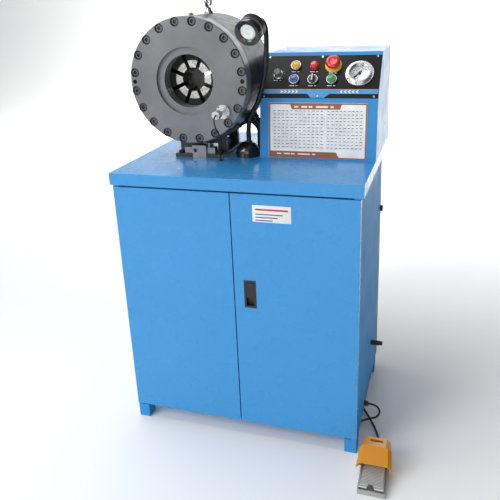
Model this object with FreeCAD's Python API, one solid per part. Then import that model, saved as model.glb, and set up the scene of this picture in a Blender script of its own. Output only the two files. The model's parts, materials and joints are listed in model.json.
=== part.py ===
import FreeCAD, Part
import math
import os

# Hose crimping machine: a sheet-metal cabinet with a hydraulic power pack inside, a crimping head on
# a cradle, a control console, a gooseneck lamp and a foot pedal on its cable.
# Millimetres, +Z up, floor at z = 0. The machine faces -Y. While it is being made, x = 0 is the middle
# of the cabinet and y = 0 its front edge; at the end it is moved so that the origin is the middle of
# the box round the whole machine, on the floor.

V = FreeCAD.Vector
X_AXIS, Y_AXIS, Z_AXIS = V(1, 0, 0), V(0, 1, 0), V(0, 0, 1)

# ---------------------------------------------------------------- driving sizes
# Tabletop and cabinet
top_width = 700.0
top_depth = 572.0
top_height = 797.0
top_edge = 34.0            # height of the folded rim
top_sheet = 3.0
cabinet_inset = 8.0        # cabinet side, inside the rim's outer face
cabinet_depth = 432.0
cabinet_sheet = 2.5
floor_gap = 44.0           # cabinet floor above the ground
frame_width = 22.0         # folded frame round the door opening
rear_panel_depth = 30.0
rear_panel_sheet = 2.0
louvre_count = 9
foot_width = 35.0
foot_depth = 40.0
foot_setback = 3.0

# Doors
door_face = 1.5            # door face, behind the rim's front
door_thick = 18.0
door_sheet = 2.0
door_gap = 3.5             # seal gap between door and frame
door_split = 3.0
door_clear = 1.0           # play above and below a door
bracket_thick = 3.0
pin_radius = 4.0
pin_length = 20.0
pin_inset = 8.0            # pivot from the door's outer edge
pin_setback = 8.5          # pivot from the door's face
barrel_radius = 7.0
pull_width = 32.0
pull_height = 80.0
pull_depth = 12.0
pull_inset = 28.5          # handle from the door's free edge
pull_middle = 471.0        # height of the handle's middle

# Running clearances
run_clear = 0.05           # radial, shaft in hole
slide_clear = 0.3          # between sliding faces
hole_clear = 0.5           # radial, screw in a plain hole

# Crimping head
head_radius = 174.0
head_inset = 188.0         # head's axis, from the tabletop's left edge
head_rise = 54.0           # head's underside, above the tabletop
head_front = 155.0
cover_thick = 36.0
cover_bore = 73.0
cover_recess = 93.5
recess_depth = 9.0
spigot_gap = 1.0           # between the spigot and the cone with the ram forward
head_wall = 37.0
rear_wall = 34.0
screw_edge = 13.0          # cover screws' circle, in from the head's rim
screw_count = 20
screw_head_radius = 9.0
screw_head_height = 12.0
screw_radius = 6.0
screw_length = 34.0
hex_across = 10.0
counterbore = 11.5
counterbore_depth = 15.0
jack_hole = 6.25           # two plain holes for jacking the cover off
rear_screw_count = 8
rear_screw_circle = 82.0
rear_flange_radius = 94.0
rear_flange_thick = 12.0
guide_radius = 62.0
guide_bore = 50.0
die_count = 8
die_open = 33.0            # radius between the dies, open
die_length = 72.0
die_setback = 46.0         # die fronts, behind the head's face
die_gap = 10.5
die_back = 98.0            # die back, from the axis, at its front end
die_slope = 15.0           # degrees
ram_stroke = 35.0
ram_wall = 48.0            # ring that runs on the guide tube
ram_gap = 3.0              # behind the ram at rest
eye_setback = 195.0
spot_face = 1.0            # flat milled under a fitting on the round body
bleed_setback = 62.0
sensor_edge = 42.7         # sensor's middle, in from the head's rim
sensor_angle = -38.35

# Cradle under the head
saddle_half = 74.0
saddle_thick = 14.0
saddle_front = 241.0       # y of the front saddle
saddle_rear = 345.0
saddle_wing = 40.0         # degrees up from the bottom
cradle_foot_front = 203.0
cradle_foot_rear = 380.0
cradle_foot_thick = 11.0
cradle_foot_inner = 22.0
manifold_width = 96.0
manifold_height = 36.0

# Console
console_width = 332.0
console_front = 230.0
console_back_gap = 4.0     # to the tabletop's rear edge
break_setback = 18.0       # where the face turns back
break_height = 169.0
console_setback = 110.0
console_height = 286.0
console_sheet = 2.0
plate_edge = 1.0
plate_high = 136.0         # top of the control plate, up the slope
plate_screw_inset = 4.5
plate_thick = 2.0
chart_left, chart_right = 27.0, 305.0      # from the console's left side
chart_low, chart_high = 3.0, 158.0
chart_thick = 1.5

# Controls on the sloping plate: place across from the console's left side, and up the slope
row_low, row_high = 57.0, 102.0
column_a, column_b, column_c = 93.0, 146.5, 200.0
speed_knob_at = (44.0, 74.0)
gauge_at = (275.0, 77.0)
bezel_rim = 2.5            # rim round a button
bezel_height = 7.0
barrel_outer = 11.0
barrel_bore = 9.0
button_radius = 12.0
button_travel = 4.0
estop_radius = 20.0
estop_travel = 5.0
knob_radius = 15.5
gauge_flange = 39.0
gauge_bezel = 32.0
gauge_window = 27.5

# Lamp
lamp_base_inset = 325.0    # from the tabletop's left edge
lamp_base_y = 250.0
lamp_base_radius = 36.0
neck_radius = 7.0
lamp_radius = 36.0
lamp_length = 58.0
lamp_reach = V(48.0, -113.0, 352.0)    # middle of the lamp's front, from the middle of its base
lamp_aim = V(-0.15, -0.90, -0.41)
ball_radius = 9.0
ball_setback = 3.0         # ball's centre, behind the lamp's back
ball_stem_radius = 4.5
ball_stem_length = 13.0
socket_radius = 14.0
socket_length = 8.0

# Foot pedal
pedal_offset = 58.0        # pedal's middle, out from the cabinet's side
pedal_front = -144.0
pedal_rear = -5.0
pedal_half = 36.0
pedal_wall = 3.0
tread_low = 23.0           # underside of the tread at rest
tread_thick = 4.0
tread_pin_y = -32.0
tread_pin_z = 17.0
tread_pin_radius = 3.0
hood_top = 80.0
hood_sheet = 2.5
hood_play = 1.8            # between the hood's foot and the base
hood_knee = -48.0          # where the narrow rear part ends
hood_step = 5.0            # how much wider the front part is, each side
hood_lip = -92.0
hood_lip_height = 50.0

# Cables and hoses
pedal_cable_radius = 3.0
sensor_cable_radius = 2.0
hose_radius = 8.0
hose_reach = 34.0          # hoses' drop, out from the head's port
gland_length = 14.0
gland_radius = 8.0

# ---------------------------------------------------------------- worked-out places
half_top = top_width / 2
half_cabinet = half_top - cabinet_inset
rim_low = top_height - top_edge
cabinet_front = door_face + door_thick + door_gap
cabinet_back = cabinet_front + cabinet_depth
cabinet_top = top_height - top_sheet
door_low = floor_gap + bracket_thick + door_clear
door_high = rim_low - bracket_thick - 2 * door_clear
pivot_x = half_cabinet - pin_inset
pivot_y = door_face + pin_setback
pull_x = door_split / 2 + pull_inset + pull_width / 2
head_x = -half_top + head_inset
head_z = top_height + head_rise + head_radius
chamber_radius = head_radius - head_wall
screw_circle = head_radius - screw_edge
bezel_radius = button_radius + bezel_rim
console_right = half_top
console_left = console_right - console_width
console_back = top_depth - console_back_gap
lamp_base_at = (-half_top + lamp_base_inset, lamp_base_y)
pedal_x = half_cabinet + pedal_offset
cover_back = head_front + cover_thick
die_front = head_front + die_setback
die_rear = die_front + die_length
slope = math.tan(math.radians(die_slope))
ram_front = cover_back + ram_stroke + 1.0
spigot_radius = die_back - ram_stroke * slope - spigot_gap
guide_front = die_rear + 2.0
cone_rear = die_rear + ram_stroke + 2.0
ram_rear = cone_rear + ram_wall
head_back = ram_rear + ram_gap + rear_wall
head_length = head_back - head_front
sensor_turn = math.radians(sensor_angle)
sensor_circle = head_radius - sensor_edge
sensor_at = V(head_x + sensor_circle * math.cos(sensor_turn), head_front,
              head_z + sensor_circle * math.sin(sensor_turn))
hose_ports = (310.0, 350.0)

nodes = {}
cord_names = []


# ---------------------------------------------------------------- making shapes
def box(x0, x1, y0, y1, z0, z1):
    """A block between two corners."""
    return Part.makeBox(x1 - x0, y1 - y0, z1 - z0, V(x0, y0, z0))


def rod(start, axis, radius, length):
    """A round bar from a point along an axis."""
    return Part.makeCylinder(radius, length, start, axis)


def ring(start, axis, outer, inner, length):
    """A plain tube."""
    return rod(start, axis, outer, length).cut(rod(start, axis, inner, length))


def fuse(shapes):
    """One solid from pieces that touch."""
    return shapes[0].multiFuse(shapes[1:]).removeSplitter()


def plate(points, direction):
    """A flat outline pushed along a direction."""
    return Part.Face(Part.makePolygon(points + [points[0]])).extrude(direction)


def group(shapes):
    """Separate solids that share a node."""
    return Part.makeCompound(shapes)


def hexagon_hole(start, axis, across, depth):
    """A six-sided socket."""
    helper = Z_AXIS if abs(axis.z) < 0.9 else X_AXIS
    side = axis.cross(helper).normalize()
    other = axis.cross(side)
    reach = across / 2 / math.cos(math.radians(30))
    corners = []
    for k in range(6):
        turn = math.radians(60 * k)
        corners.append(start + side * (reach * math.cos(turn)) + other * (reach * math.sin(turn)))
    return plate(corners, axis * depth)


def cap_screw(seat, inwards, head, height, shank, length, across):
    """A socket-head screw: the head stands on the seat, the shank goes inwards."""
    outer = rod(seat - inwards * height, inwards, head, height)
    outer = outer.cut(hexagon_hole(seat - inwards * height, inwards, across, height * 0.6))
    return fuse([outer, rod(seat, inwards, shank, length)])


def route(points):
    """A path of straight runs joined by tangent arcs; returns the wire and the arcs' radii."""
    edges, radii = [], []
    here = points[0]
    for before, corner, after in zip(points, points[1:], points[2:]):
        back = (before - corner).normalize()
        on = (after - corner).normalize()
        half_turn = (math.pi - back.getAngle(on)) / 2
        reach = 0.45 * min(before.distanceToPoint(corner), after.distanceToPoint(corner))
        radius = reach / math.tan(half_turn)
        inside = (back + on).normalize()
        middle = corner + inside * (radius / math.cos(half_turn) - radius)
        edges.append(Part.LineSegment(here, corner + back * reach).toShape())
        edges.append(Part.Arc(corner + back * reach, middle, corner + on * reach).toShape())
        here = corner + on * reach
        radii.append(radius)
    edges.append(Part.LineSegment(here, points[-1]).toShape())
    return Part.Wire(edges), radii


def tube(name, points, radius):
    """A round cable or hose along a route, with its figures printed."""
    wire, radii = route(points)
    start_way = (points[1] - points[0]).normalize()
    section = Part.Wire(Part.makeCircle(radius, points[0], start_way))
    solid = wire.makePipeShell([section], True, False)
    expected = math.pi * radius ** 2 * wire.Length
    print(f"{name}: length {wire.Length:.0f}, smallest radius {min(radii):.1f},"
          f" radii {[round(r) for r in radii]}, volume ratio {solid.Volume / expected:.4f}")
    return solid


def mirrored(shape):
    """The same shape on the other side of the cabinet."""
    return shape.mirror(V(0, 0, 0), X_AXIS)


# ---------------------------------------------------------------- cabinet
def make_tabletop():
    tray = box(-half_top, half_top, 0, top_depth, rim_low, top_height)
    inside = box(-half_top + top_sheet, half_top - top_sheet, top_sheet, top_depth - top_sheet,
                 rim_low, top_height - top_sheet)
    tray = tray.cut(inside)
    for y in hose_ports:
        tray = tray.cut(rod(V(hose_drop_x(), y, top_height - 10), Z_AXIS, hose_radius + 4, 20))
    tray = tray.cut(rod(sensor_hole() - Z_AXIS * 20, Z_AXIS, sensor_cable_radius + 3, 40))
    spare_hole = V(head_x + 6, 158, top_height - 10)
    tray = tray.cut(rod(spare_hole, Z_AXIS, 4.5, 20))
    for x, y in cradle_bolt_places():
        tray = tray.cut(rod(V(x, y, top_height - 10), Z_AXIS, 5 + hole_clear, 20))
    return tray


def make_cabinet_body():
    s = cabinet_sheet
    body = box(-half_cabinet, half_cabinet, cabinet_front, cabinet_back, floor_gap, cabinet_top)
    body = body.cut(box(-half_cabinet + s, half_cabinet - s, cabinet_front + s, cabinet_back - s,
                        floor_gap + s, cabinet_top - s))
    w = frame_width
    body = body.cut(box(-half_cabinet + w, half_cabinet - w, cabinet_front - 1, cabinet_front + s + 1,
                        floor_gap + w, rim_low - w))
    body = body.cut(box(-half_cabinet + w, half_cabinet - w, cabinet_back - s - 1, cabinet_back + 1,
                        floor_gap + 2 * w, rim_low - w))
    body = body.cut(box(-half_cabinet + w, half_cabinet - w, cabinet_front + w, cabinet_back - w,
                        cabinet_top - s - 1, cabinet_top + 1))
    brackets = []
    for z in (floor_gap, rim_low - bracket_thick - door_clear):
        tongue = box(-half_cabinet, -half_cabinet + 2 * pin_inset, foot_setback, cabinet_front + s,
                     z, z + bracket_thick)
        brackets.append(tongue)
        brackets.append(mirrored(tongue))
    body = fuse([body] + brackets)
    for side in (-1, 1):
        body = body.cut(rod(V(side * pivot_x, pivot_y, floor_gap - 1), Z_AXIS, pin_radius,
                            bracket_thick + 2))
        body = body.cut(rod(V(side * pivot_x, pivot_y, rim_low - bracket_thick - door_clear - 1),
                            Z_AXIS, pin_radius, bracket_thick + 1.9))
    for at in (mains_gland_at(), pedal_gland_at()):
        body = body.cut(rod(at - X_AXIS * 10, X_AXIS, gland_radius - 2, 20))
    return body


def make_rear_panel():
    s = rear_panel_sheet
    low, high = floor_gap, rim_low - door_clear
    back = cabinet_back + rear_panel_depth
    panel = box(-half_cabinet, half_cabinet, cabinet_back, back, low, high)
    panel = panel.cut(box(-half_cabinet + s, half_cabinet - s, cabinet_back - 1, back - s,
                          low + s, high - s))
    pitch = 18.0
    slots = []
    for side in (-1, 1):
        for k in range(louvre_count):
            z = high - 110 - k * pitch
            slots.append(box(side * 150 - 90, side * 150 + 90, back - s - 1, back + 1, z, z + 6))
    return panel.cut(group(slots))


def make_feet():
    feet = []
    for x in (-half_cabinet, half_cabinet - foot_width):
        for y in (foot_setback, cabinet_back - foot_setback - foot_depth):
            foot = box(x, x + foot_width, y, y + foot_depth, 0, floor_gap)
            hollow = box(x + 3, x + foot_width - 3, y + 3, y + foot_depth - 3, 6, floor_gap)
            feet.append(foot.cut(hollow))
    return group(feet)


# ---------------------------------------------------------------- doors
def make_left_door():
    s = door_sheet
    x0, x1 = -half_cabinet, -door_split / 2
    y0, y1 = door_face, door_face + door_thick
    door = box(x0, x1, y0, y1, door_low, door_high)
    door = door.cut(box(x0 + s, x1 - s, y0 + s, y1 + 1, door_low + s, door_high - s))
    stiffener = box((x0 + x1) / 2 - 20, (x0 + x1) / 2 + 20, y0 + s - 0.5, y0 + s + 8,
                    door_low + 60, door_high - 60)
    barrels = []
    for z in (door_low, door_high - pin_length):
        barrels.append(rod(V(-pivot_x, pivot_y, z), Z_AXIS, barrel_radius, pin_length))
    door = fuse([door, stiffener] + barrels)
    for z in (door_low, door_high - pin_length):
        door = door.cut(rod(V(-pivot_x, pivot_y, z - 1), Z_AXIS, pin_radius + run_clear, pin_length + 2))
    return door


def make_right_door():
    door = mirrored(make_left_door())
    s = pull_sheet()
    hole = box(pull_x - pull_width / 2 + s, pull_x + pull_width / 2 - s, door_face - 1,
               door_face + door_sheet + 1, pull_middle - pull_height / 2 + s,
               pull_middle + pull_height / 2 - s)
    return door.cut(hole)


def pull_sheet():
    """Wall of the flush handle's cup."""
    return 2.5


def make_pull_cup():
    s = pull_sheet()
    x0, x1 = pull_x - pull_width / 2, pull_x + pull_width / 2
    z0, z1 = pull_middle - pull_height / 2, pull_middle + pull_height / 2
    flange = box(x0 - 1, x1 + 1, 0.3, door_face, z0 - 1, z1 + 1)
    cup = box(x0 + s + 0.2, x1 - s - 0.2, 0.3, door_face + pull_depth, z0 + s + 0.2, z1 - s - 0.2)
    body = fuse([flange, cup])
    hollow = box(x0 + 2 * s, x1 - 2 * s, -1, door_face + pull_depth - 2, z0 + 2 * s, z1 - 2 * s)
    body = body.cut(hollow)
    pin_at = V(x0 + s + 0.2, pull_pivot_y(), pull_pivot_z())
    return body.cut(rod(pin_at - X_AXIS, X_AXIS, 1.5 + run_clear, pull_width))


def pull_pivot_y():
    return 4.0


def pull_pivot_z():
    return pull_middle + pull_height / 2 - 10.0


def make_pull():
    s = pull_sheet()
    gap = 0.5
    x0, x1 = pull_x - pull_width / 2 + 2 * s + gap, pull_x + pull_width / 2 - 2 * s - gap
    top = pull_pivot_z()
    low = pull_middle - 12.0
    blade = box(x0, x1, 0.8, 3.4, low, top)
    lip = box(x0, x1, 0.8, 6.0, low, low + 3)
    hub = rod(V(x0, pull_pivot_y(), top), X_AXIS, 3.2, x1 - x0)
    pin_start = V(x0 - s + 0.1, pull_pivot_y(), top)
    pin = rod(pin_start, X_AXIS, 1.5, x1 - x0 + 2 * s - 0.2)
    return fuse([blade, lip, hub, pin])


def make_hinge_pins():
    pins = []
    for side in (-1, 1):
        for z in (floor_gap, rim_low - door_clear - bracket_thick - pin_length + 3):
            pins.append(rod(V(side * pivot_x, pivot_y, z), Z_AXIS, pin_radius, pin_length))
    return group(pins)


# ---------------------------------------------------------------- power pack inside the cabinet
tank_width = 435.0
tank_height = 256.0
tank_left = -half_cabinet + 17.0
tank_right = tank_left + tank_width
tank_front = cabinet_front + 47.0
tank_back = cabinet_back - 25.0
tank_top = floor_gap + tank_height
tank_wall = 3.0
lid_thick = 8.0
lid_top = tank_top + lid_thick
motor_x = tank_left + 30.0
motor_y = (tank_front + tank_back) / 2
motor_radius = 84.0
motor_length = 185.0
motor_foot = 16.0
motor_z = lid_top + motor_foot + motor_radius
bell_length = 52.0
pump_half = 45.0
pump_length = 62.0
valve_width, valve_depth, valve_height = 75.0, 90.0, 60.0
valve_x = tank_right - valve_width - 5.0
valve_y = tank_front + 35.0


def make_tank():
    s = tank_wall
    low = floor_gap + cabinet_sheet
    tank = box(tank_left, tank_right, tank_front, tank_back, low, tank_top)
    tank = tank.cut(box(tank_left + s, tank_right - s, tank_front + s, tank_back - s, low + s, tank_top + 1))
    lid = box(tank_left - 4, tank_right + 4, tank_front - 4, tank_back + 4, tank_top, lid_top)
    filler_at = V(valve_x - 90, tank_front + 50, lid_top)
    filler = rod(filler_at, Z_AXIS, 26, 20)
    cap = rod(filler_at + Z_AXIS * 20, Z_AXIS, 32, 16)
    gauge = box(tank_left + 75, tank_left + 103, tank_front - 14, tank_front, tank_top - 190, tank_top - 60)
    return group([fuse([tank, gauge]), fuse([lid, filler, cap])])


def make_motor():
    axis_start = V(motor_x, motor_y, motor_z)
    frame = rod(axis_start, X_AXIS, motor_radius - 10, motor_length)
    fins = []
    fin_count = 28
    for k in range(fin_count):
        turn = 360.0 * k / fin_count
        fin = box(motor_x + 12, motor_x + motor_length - 12, motor_y - 1.5, motor_y + 1.5,
                  motor_z + motor_radius - 14, motor_z + motor_radius)
        fin.rotate(axis_start, X_AXIS, turn)
        fins.append(fin)
    fan_cover = rod(axis_start - X_AXIS * 26, X_AXIS, motor_radius, 38)
    end_bell = rod(axis_start + X_AXIS * (motor_length - 12), X_AXIS, motor_radius, 12)
    feet = box(motor_x + 30, motor_x + motor_length - 30, motor_y - 80, motor_y + 80,
               lid_top, lid_top + 10)
    pad = box(motor_x + 40, motor_x + motor_length - 40, motor_y - 45, motor_y + 45,
              lid_top, motor_z - motor_radius + 22)
    terminals = box(motor_x + 50, motor_x + motor_length - 50, motor_y - 45, motor_y + 45,
                    motor_z + motor_radius - 20, motor_z + motor_radius + 42)
    bell = rod(axis_start + X_AXIS * motor_length, X_AXIS, motor_radius - 12, bell_length)
    motor = fuse([frame] + fins + [fan_cover, end_bell, feet, pad, terminals])
    return group([motor, bell])


def make_pump():
    start = motor_x + motor_length + bell_length
    flange = rod(V(start, motor_y, motor_z), X_AXIS, motor_radius - 22, 12)
    block = box(start + 12, start + pump_length, motor_y - pump_half, motor_y + pump_half,
                motor_z - pump_half, motor_z + pump_half)
    cover = box(start + pump_length, start + pump_length + 14, motor_y - pump_half + 5,
                motor_y + pump_half - 5, motor_z - pump_half + 5, motor_z + pump_half - 5)
    outlet = rod(V(start + 38, motor_y, motor_z + pump_half), Z_AXIS, 14, 16)
    return fuse([flange, block, cover, outlet])


def make_valve_block():
    block = box(valve_x, valve_x + valve_width, valve_y, valve_y + valve_depth, lid_top,
                lid_top + valve_height)
    coil_length = 42.0
    coils = []
    for y in (valve_y - coil_length, valve_y + valve_depth):
        coils.append(box(valve_x + 15, valve_x + valve_width - 15, y, y + coil_length,
                         lid_top + 12, lid_top + valve_height - 8))
    return fuse([block] + coils)


def make_electrical_box():
    wall = half_cabinet - cabinet_sheet
    front, back = cabinet_front + 107, cabinet_back - 65
    high = rim_low - 63
    low = high - 300
    case = box(wall - 90, wall, front, back, low, high)
    case = case.cut(box(wall - 88, wall - 2, front + 2, back - 2, low + 2, high - 2))
    case = case.cut(box(wall - 91, wall - 87, front + 10, back - 10, low + 10, high - 10))
    door = box(wall - 93, wall - 90, front + 2, back - 2, low + 2, high - 2)
    rail = box(wall - 20, wall - 2, front + 20, back - 20, low + 160, low + 190)
    switches = []
    pitch = 42.0
    for k in range(int((back - front - 50) / pitch)):
        y = front + 25 + pitch * k
        switches.append(box(wall - 78, wall - 20, y, y + 36, low + 130, low + 215))
    return group([fuse([case, rail] + switches), door])


# ---------------------------------------------------------------- crimping head
def screw_places(count, circle, first):
    """Centres on a circle round the head's axis."""
    places = []
    for k in range(count):
        turn = math.radians(first + 360.0 * k / count)
        places.append(V(head_x + circle * math.cos(turn), 0, head_z + circle * math.sin(turn)))
    return places


def at_y(place, y):
    return V(place.x, y, place.z)


def make_head_body():
    body = ring(V(head_x, cover_back, head_z), Y_AXIS, head_radius, chamber_radius,
                head_length - cover_thick)
    wall = ring(V(head_x, head_back - rear_wall, head_z), Y_AXIS, head_radius - 5, guide_radius + run_clear,
                rear_wall)
    body = fuse([body, wall])
    body = body.makeChamfer(3.0, [e for e in body.Edges if is_rim(e, head_back, head_radius)])
    tools = []
    for place in screw_places(screw_count, screw_circle, 9):
        tools.append(rod(at_y(place, cover_back - 1), Y_AXIS, screw_radius, screw_length))
    for place in screw_places(rear_screw_count, rear_screw_circle, 22.5):
        tools.append(rod(at_y(place, head_back - 18), Y_AXIS, 4, 20))
    top = V(head_x, 0, head_z + head_radius)
    tools.append(rod(at_y(top, head_front + eye_setback) - Z_AXIS * 26, Z_AXIS, 8, 30))
    tools.append(rod(at_y(top, head_front + bleed_setback) - Z_AXIS * 12, Z_AXIS, 5, 20))
    for y in hose_ports:
        tools.append(rod(port_at(y) - port_way() * 14, port_way(), 8, 20))
        tools.append(rod(port_at(y) - port_way() * spot_face, port_way(), 16, 20))
    tools.append(rod(at_y(top, head_front + bleed_setback) - Z_AXIS * spot_face, Z_AXIS, 9.5, 20))
    tools.append(rod(at_y(top, head_front + eye_setback) - Z_AXIS * spot_face, Z_AXIS, 16, 20))
    return body.cut(group(tools))


def is_rim(edge, y, radius):
    """True for the full circle of that radius at that y on the head's axis."""
    if edge.Curve.TypeId != "Part::GeomCircle":
        return False
    centre = edge.Curve.Center
    return abs(centre.y - y) < 0.01 and abs(edge.Curve.Radius - radius) < 0.01


def make_front_cover():
    face = head_front
    cover = rod(V(head_x, face, head_z), Y_AXIS, head_radius, cover_thick)
    spigot = rod(V(head_x, cover_back, head_z), Y_AXIS, spigot_radius, die_front - cover_back - slide_clear)
    cover = fuse([cover, spigot])
    cover = cover.makeChamfer(2.5, [e for e in cover.Edges if is_rim(e, face, head_radius)])
    tools = [rod(V(head_x, face - 1, head_z), Y_AXIS, cover_recess, recess_depth + 1),
             rod(V(head_x, face - 1, head_z), Y_AXIS, cover_bore, head_length)]
    for place in screw_places(screw_count, screw_circle, 9):
        tools.append(rod(at_y(place, face - 1), Y_AXIS, counterbore, counterbore_depth + 1))
        tools.append(rod(at_y(place, face), Y_AXIS, screw_radius + hole_clear, cover_thick + 1))
    for place in screw_places(2, screw_circle, 0):
        tools.append(rod(at_y(place, face - 1), Y_AXIS, jack_hole, 21))
    for dx, dz in ((-12, 12), (12, -12)):
        tools.append(rod(sensor_at + V(dx, -1, dz), Y_AXIS, 1.6, 13))
    cover = cover.cut(tools[0]).cut(tools[1]).cut(group(tools[2:]))
    groove_depth = 3.0
    for y in (face + 16, face + 31):
        cover = cover.cut(ring(V(head_x, y, head_z), Y_AXIS, cover_bore + groove_depth, cover_bore - 1, 8))
    return cover


def make_cover_screws():
    screws = []
    for place in screw_places(screw_count, screw_circle, 9):
        seat = at_y(place, head_front + counterbore_depth)
        screws.append(cap_screw(seat, Y_AXIS, screw_head_radius, screw_head_height,
                                screw_radius - 0.1, screw_length + 14, hex_across))
    return group(screws)


def make_rear_cover():
    guide = rod(V(head_x, guide_front, head_z), Y_AXIS, guide_radius, head_back - guide_front)
    flange = rod(V(head_x, head_back, head_z), Y_AXIS, rear_flange_radius, rear_flange_thick)
    cover = fuse([guide, flange])
    cover = cover.cut(rod(V(head_x, guide_front - 1, head_z), Y_AXIS, guide_bore, head_length))
    holes = []
    for place in screw_places(rear_screw_count, rear_screw_circle, 22.5):
        holes.append(rod(at_y(place, head_back - 1), Y_AXIS, 4 + hole_clear, rear_flange_thick + 2))
    return cover.cut(group(holes))


def make_rear_screws():
    screws = []
    for place in screw_places(rear_screw_count, rear_screw_circle, 22.5):
        seat = at_y(place, head_back + rear_flange_thick)
        screws.append(cap_screw(seat, Y_AXIS * -1, 6.5, 8, 3.9, 27, 6))
    return screws


def facet_distance(y):
    """Distance of the cone's flat facets from the axis, with the ram at rest."""
    return die_back - (y - die_front) * slope


def octagon(y):
    """Eight-sided outline of the cone at y, a facet facing each die."""
    reach = facet_distance(y) / math.cos(math.radians(22.5))
    corners = []
    for k in range(die_count):
        turn = math.radians(22.5 + 45.0 * k)
        corners.append(V(head_x + reach * math.cos(turn), y, head_z + reach * math.sin(turn)))
    return Part.makePolygon(corners + [corners[0]])


def make_ram():
    ram = rod(V(head_x, ram_front, head_z), Y_AXIS, chamber_radius - run_clear, ram_rear - ram_front)
    cavity = Part.makeLoft([octagon(ram_front - 1), octagon(cone_rear)], True, True)
    bore = rod(V(head_x, cone_rear - 1, head_z), Y_AXIS, guide_radius + run_clear, ram_rear)
    ram = ram.cut(cavity).cut(bore)
    for y in (cone_rear + 12, cone_rear + 21):
        ram = ram.cut(ring(V(head_x, y, head_z), Y_AXIS, chamber_radius + 1, chamber_radius - 4, 5))
    return ram


def make_die(k):
    """One wedge-backed die, made along +X from the axis and turned to its place."""
    side = math.tan(math.radians(22.5))
    play = die_gap / 2 / math.cos(math.radians(22.5))
    inner, outer = 20.0, 115.0
    wedge = plate([V(inner, die_front, -(inner * side - play)), V(outer, die_front, -(outer * side - play)),
                   V(outer, die_front, outer * side - play), V(inner, die_front, inner * side - play)],
                  V(0, die_length, 0))
    back_front = facet_distance(die_front) - slide_clear
    back_rear = facet_distance(die_rear) - slide_clear
    limit = plate([V(0, die_front, -60), V(back_front, die_front, -60), V(back_rear, die_rear, -60),
                   V(0, die_rear, -60)], V(0, 0, 120))
    die = wedge.common(limit)
    die = die.cut(rod(V(0, die_front - 1, 0), Y_AXIS, die_open, die_length + 2))
    for y in (die_front + 26, die_front + 52):
        die = die.cut(ring(V(0, y, 0), Y_AXIS, die_open + 1.2, die_open - 1, 4))
    die.translate(V(head_x, 0, head_z))
    die.rotate(V(head_x, 0, head_z), Y_AXIS, -45.0 * k)
    return die


def make_bleed_plug():
    seat = V(head_x, head_front + bleed_setback, head_z + head_radius - spot_face)
    hexagon = hexagon_hole(seat, Z_AXIS, 14, 6)
    stem = rod(seat - Z_AXIS * 10, Z_AXIS, 4.9, 10)
    nipple = rod(seat + Z_AXIS * 4, Z_AXIS, 3, 4)
    return fuse([hexagon, stem, nipple])


def make_lifting_eye():
    seat = V(head_x, head_front + eye_setback, head_z + head_radius - spot_face)
    stem = rod(seat - Z_AXIS * 24, Z_AXIS, 7.9, 24)
    collar = rod(seat, Z_AXIS, 14, 7)
    neck = Part.makeCone(11, 7, 12, seat + Z_AXIS * 6, Z_AXIS)
    eye = Part.makeTorus(17, 6, seat + Z_AXIS * 36, X_AXIS)
    return fuse([stem, collar, neck, eye])


# ---------------------------------------------------------------- cradle and manifold
def saddle(y):
    """A plate standing across the head, hollowed to its radius, with two legs."""
    wing = math.radians(saddle_wing)
    reach = head_radius + 14
    foot_top = top_height + cradle_foot_thick
    tip_x = reach * math.sin(wing)
    tip_z = head_z - reach * math.cos(wing)
    leg_z = head_z - (head_radius + 26)
    outline = [V(head_x - saddle_half, y, foot_top), V(head_x - saddle_half, y, leg_z + 32),
               V(head_x - tip_x, y, tip_z), V(head_x - tip_x + 12, y, tip_z + 14),
               V(head_x + tip_x - 12, y, tip_z + 14), V(head_x + tip_x, y, tip_z),
               V(head_x + saddle_half, y, leg_z + 32), V(head_x + saddle_half, y, foot_top),
               V(head_x + saddle_half - 27, y, foot_top), V(head_x + saddle_half - 27, y, leg_z + 8),
               V(head_x - saddle_half + 27, y, leg_z + 8), V(head_x - saddle_half + 27, y, foot_top)]
    body = plate(outline, V(0, saddle_thick, 0))
    return body.cut(rod(V(head_x, y - 1, head_z), Y_AXIS, head_radius, saddle_thick + 2))


def make_cradle():
    pieces = [saddle(saddle_front), saddle(saddle_rear)]
    foot_top = top_height + cradle_foot_thick
    for side in (-1, 1):
        x_in = head_x + side * cradle_foot_inner
        x_out = head_x + side * (saddle_half + 2)
        pieces.append(box(min(x_in, x_out), max(x_in, x_out), cradle_foot_front, cradle_foot_rear,
                          top_height, foot_top))
        x_rib = head_x + side * (saddle_half - 20)
        pieces.append(box(x_rib - 5, x_rib + 5, saddle_front, saddle_rear + saddle_thick, foot_top - 1,
                          foot_top + 26))
    cradle = fuse(pieces)
    for x, y in cradle_bolt_places():
        cradle = cradle.cut(rod(V(x, y, top_height - 1), Z_AXIS, 5 + hole_clear, cradle_foot_thick + 2))
    return cradle


def cradle_bolt_places():
    places = []
    for side in (-1, 1):
        for y in (cradle_foot_front + 14, cradle_foot_rear - 10):
            places.append((head_x + side * (saddle_half - 14), y))
    return places


def make_cradle_bolts():
    bolts = []
    for x, y in cradle_bolt_places():
        seat = V(x, y, top_height + cradle_foot_thick)
        head = hexagon_hole(seat, Z_AXIS, 17, 7)
        bolts.append(fuse([head, rod(seat - Z_AXIS * 30, Z_AXIS, 4.9, 31)]))
    return group(bolts)


def make_manifold():
    low = top_height
    half = cradle_foot_inner - slide_clear
    front = cradle_foot_front + 2
    block = box(head_x - half, head_x + half, front, front + 30, low, low + manifold_height)
    lug = box(head_x - manifold_width / 2, head_x + manifold_width / 2, front + 6, front + 26,
              low + cradle_foot_thick + slide_clear, low + cradle_foot_thick + 18)
    block = fuse([block, lug])
    block = block.cut(rod(V(head_x - 12, front - 1, low + 21), Y_AXIS, 6, 16))
    union = rod(V(head_x + 27, front + 16, low + cradle_foot_thick + 17), Z_AXIS, 7, 14)
    return fuse([block, union])


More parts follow.
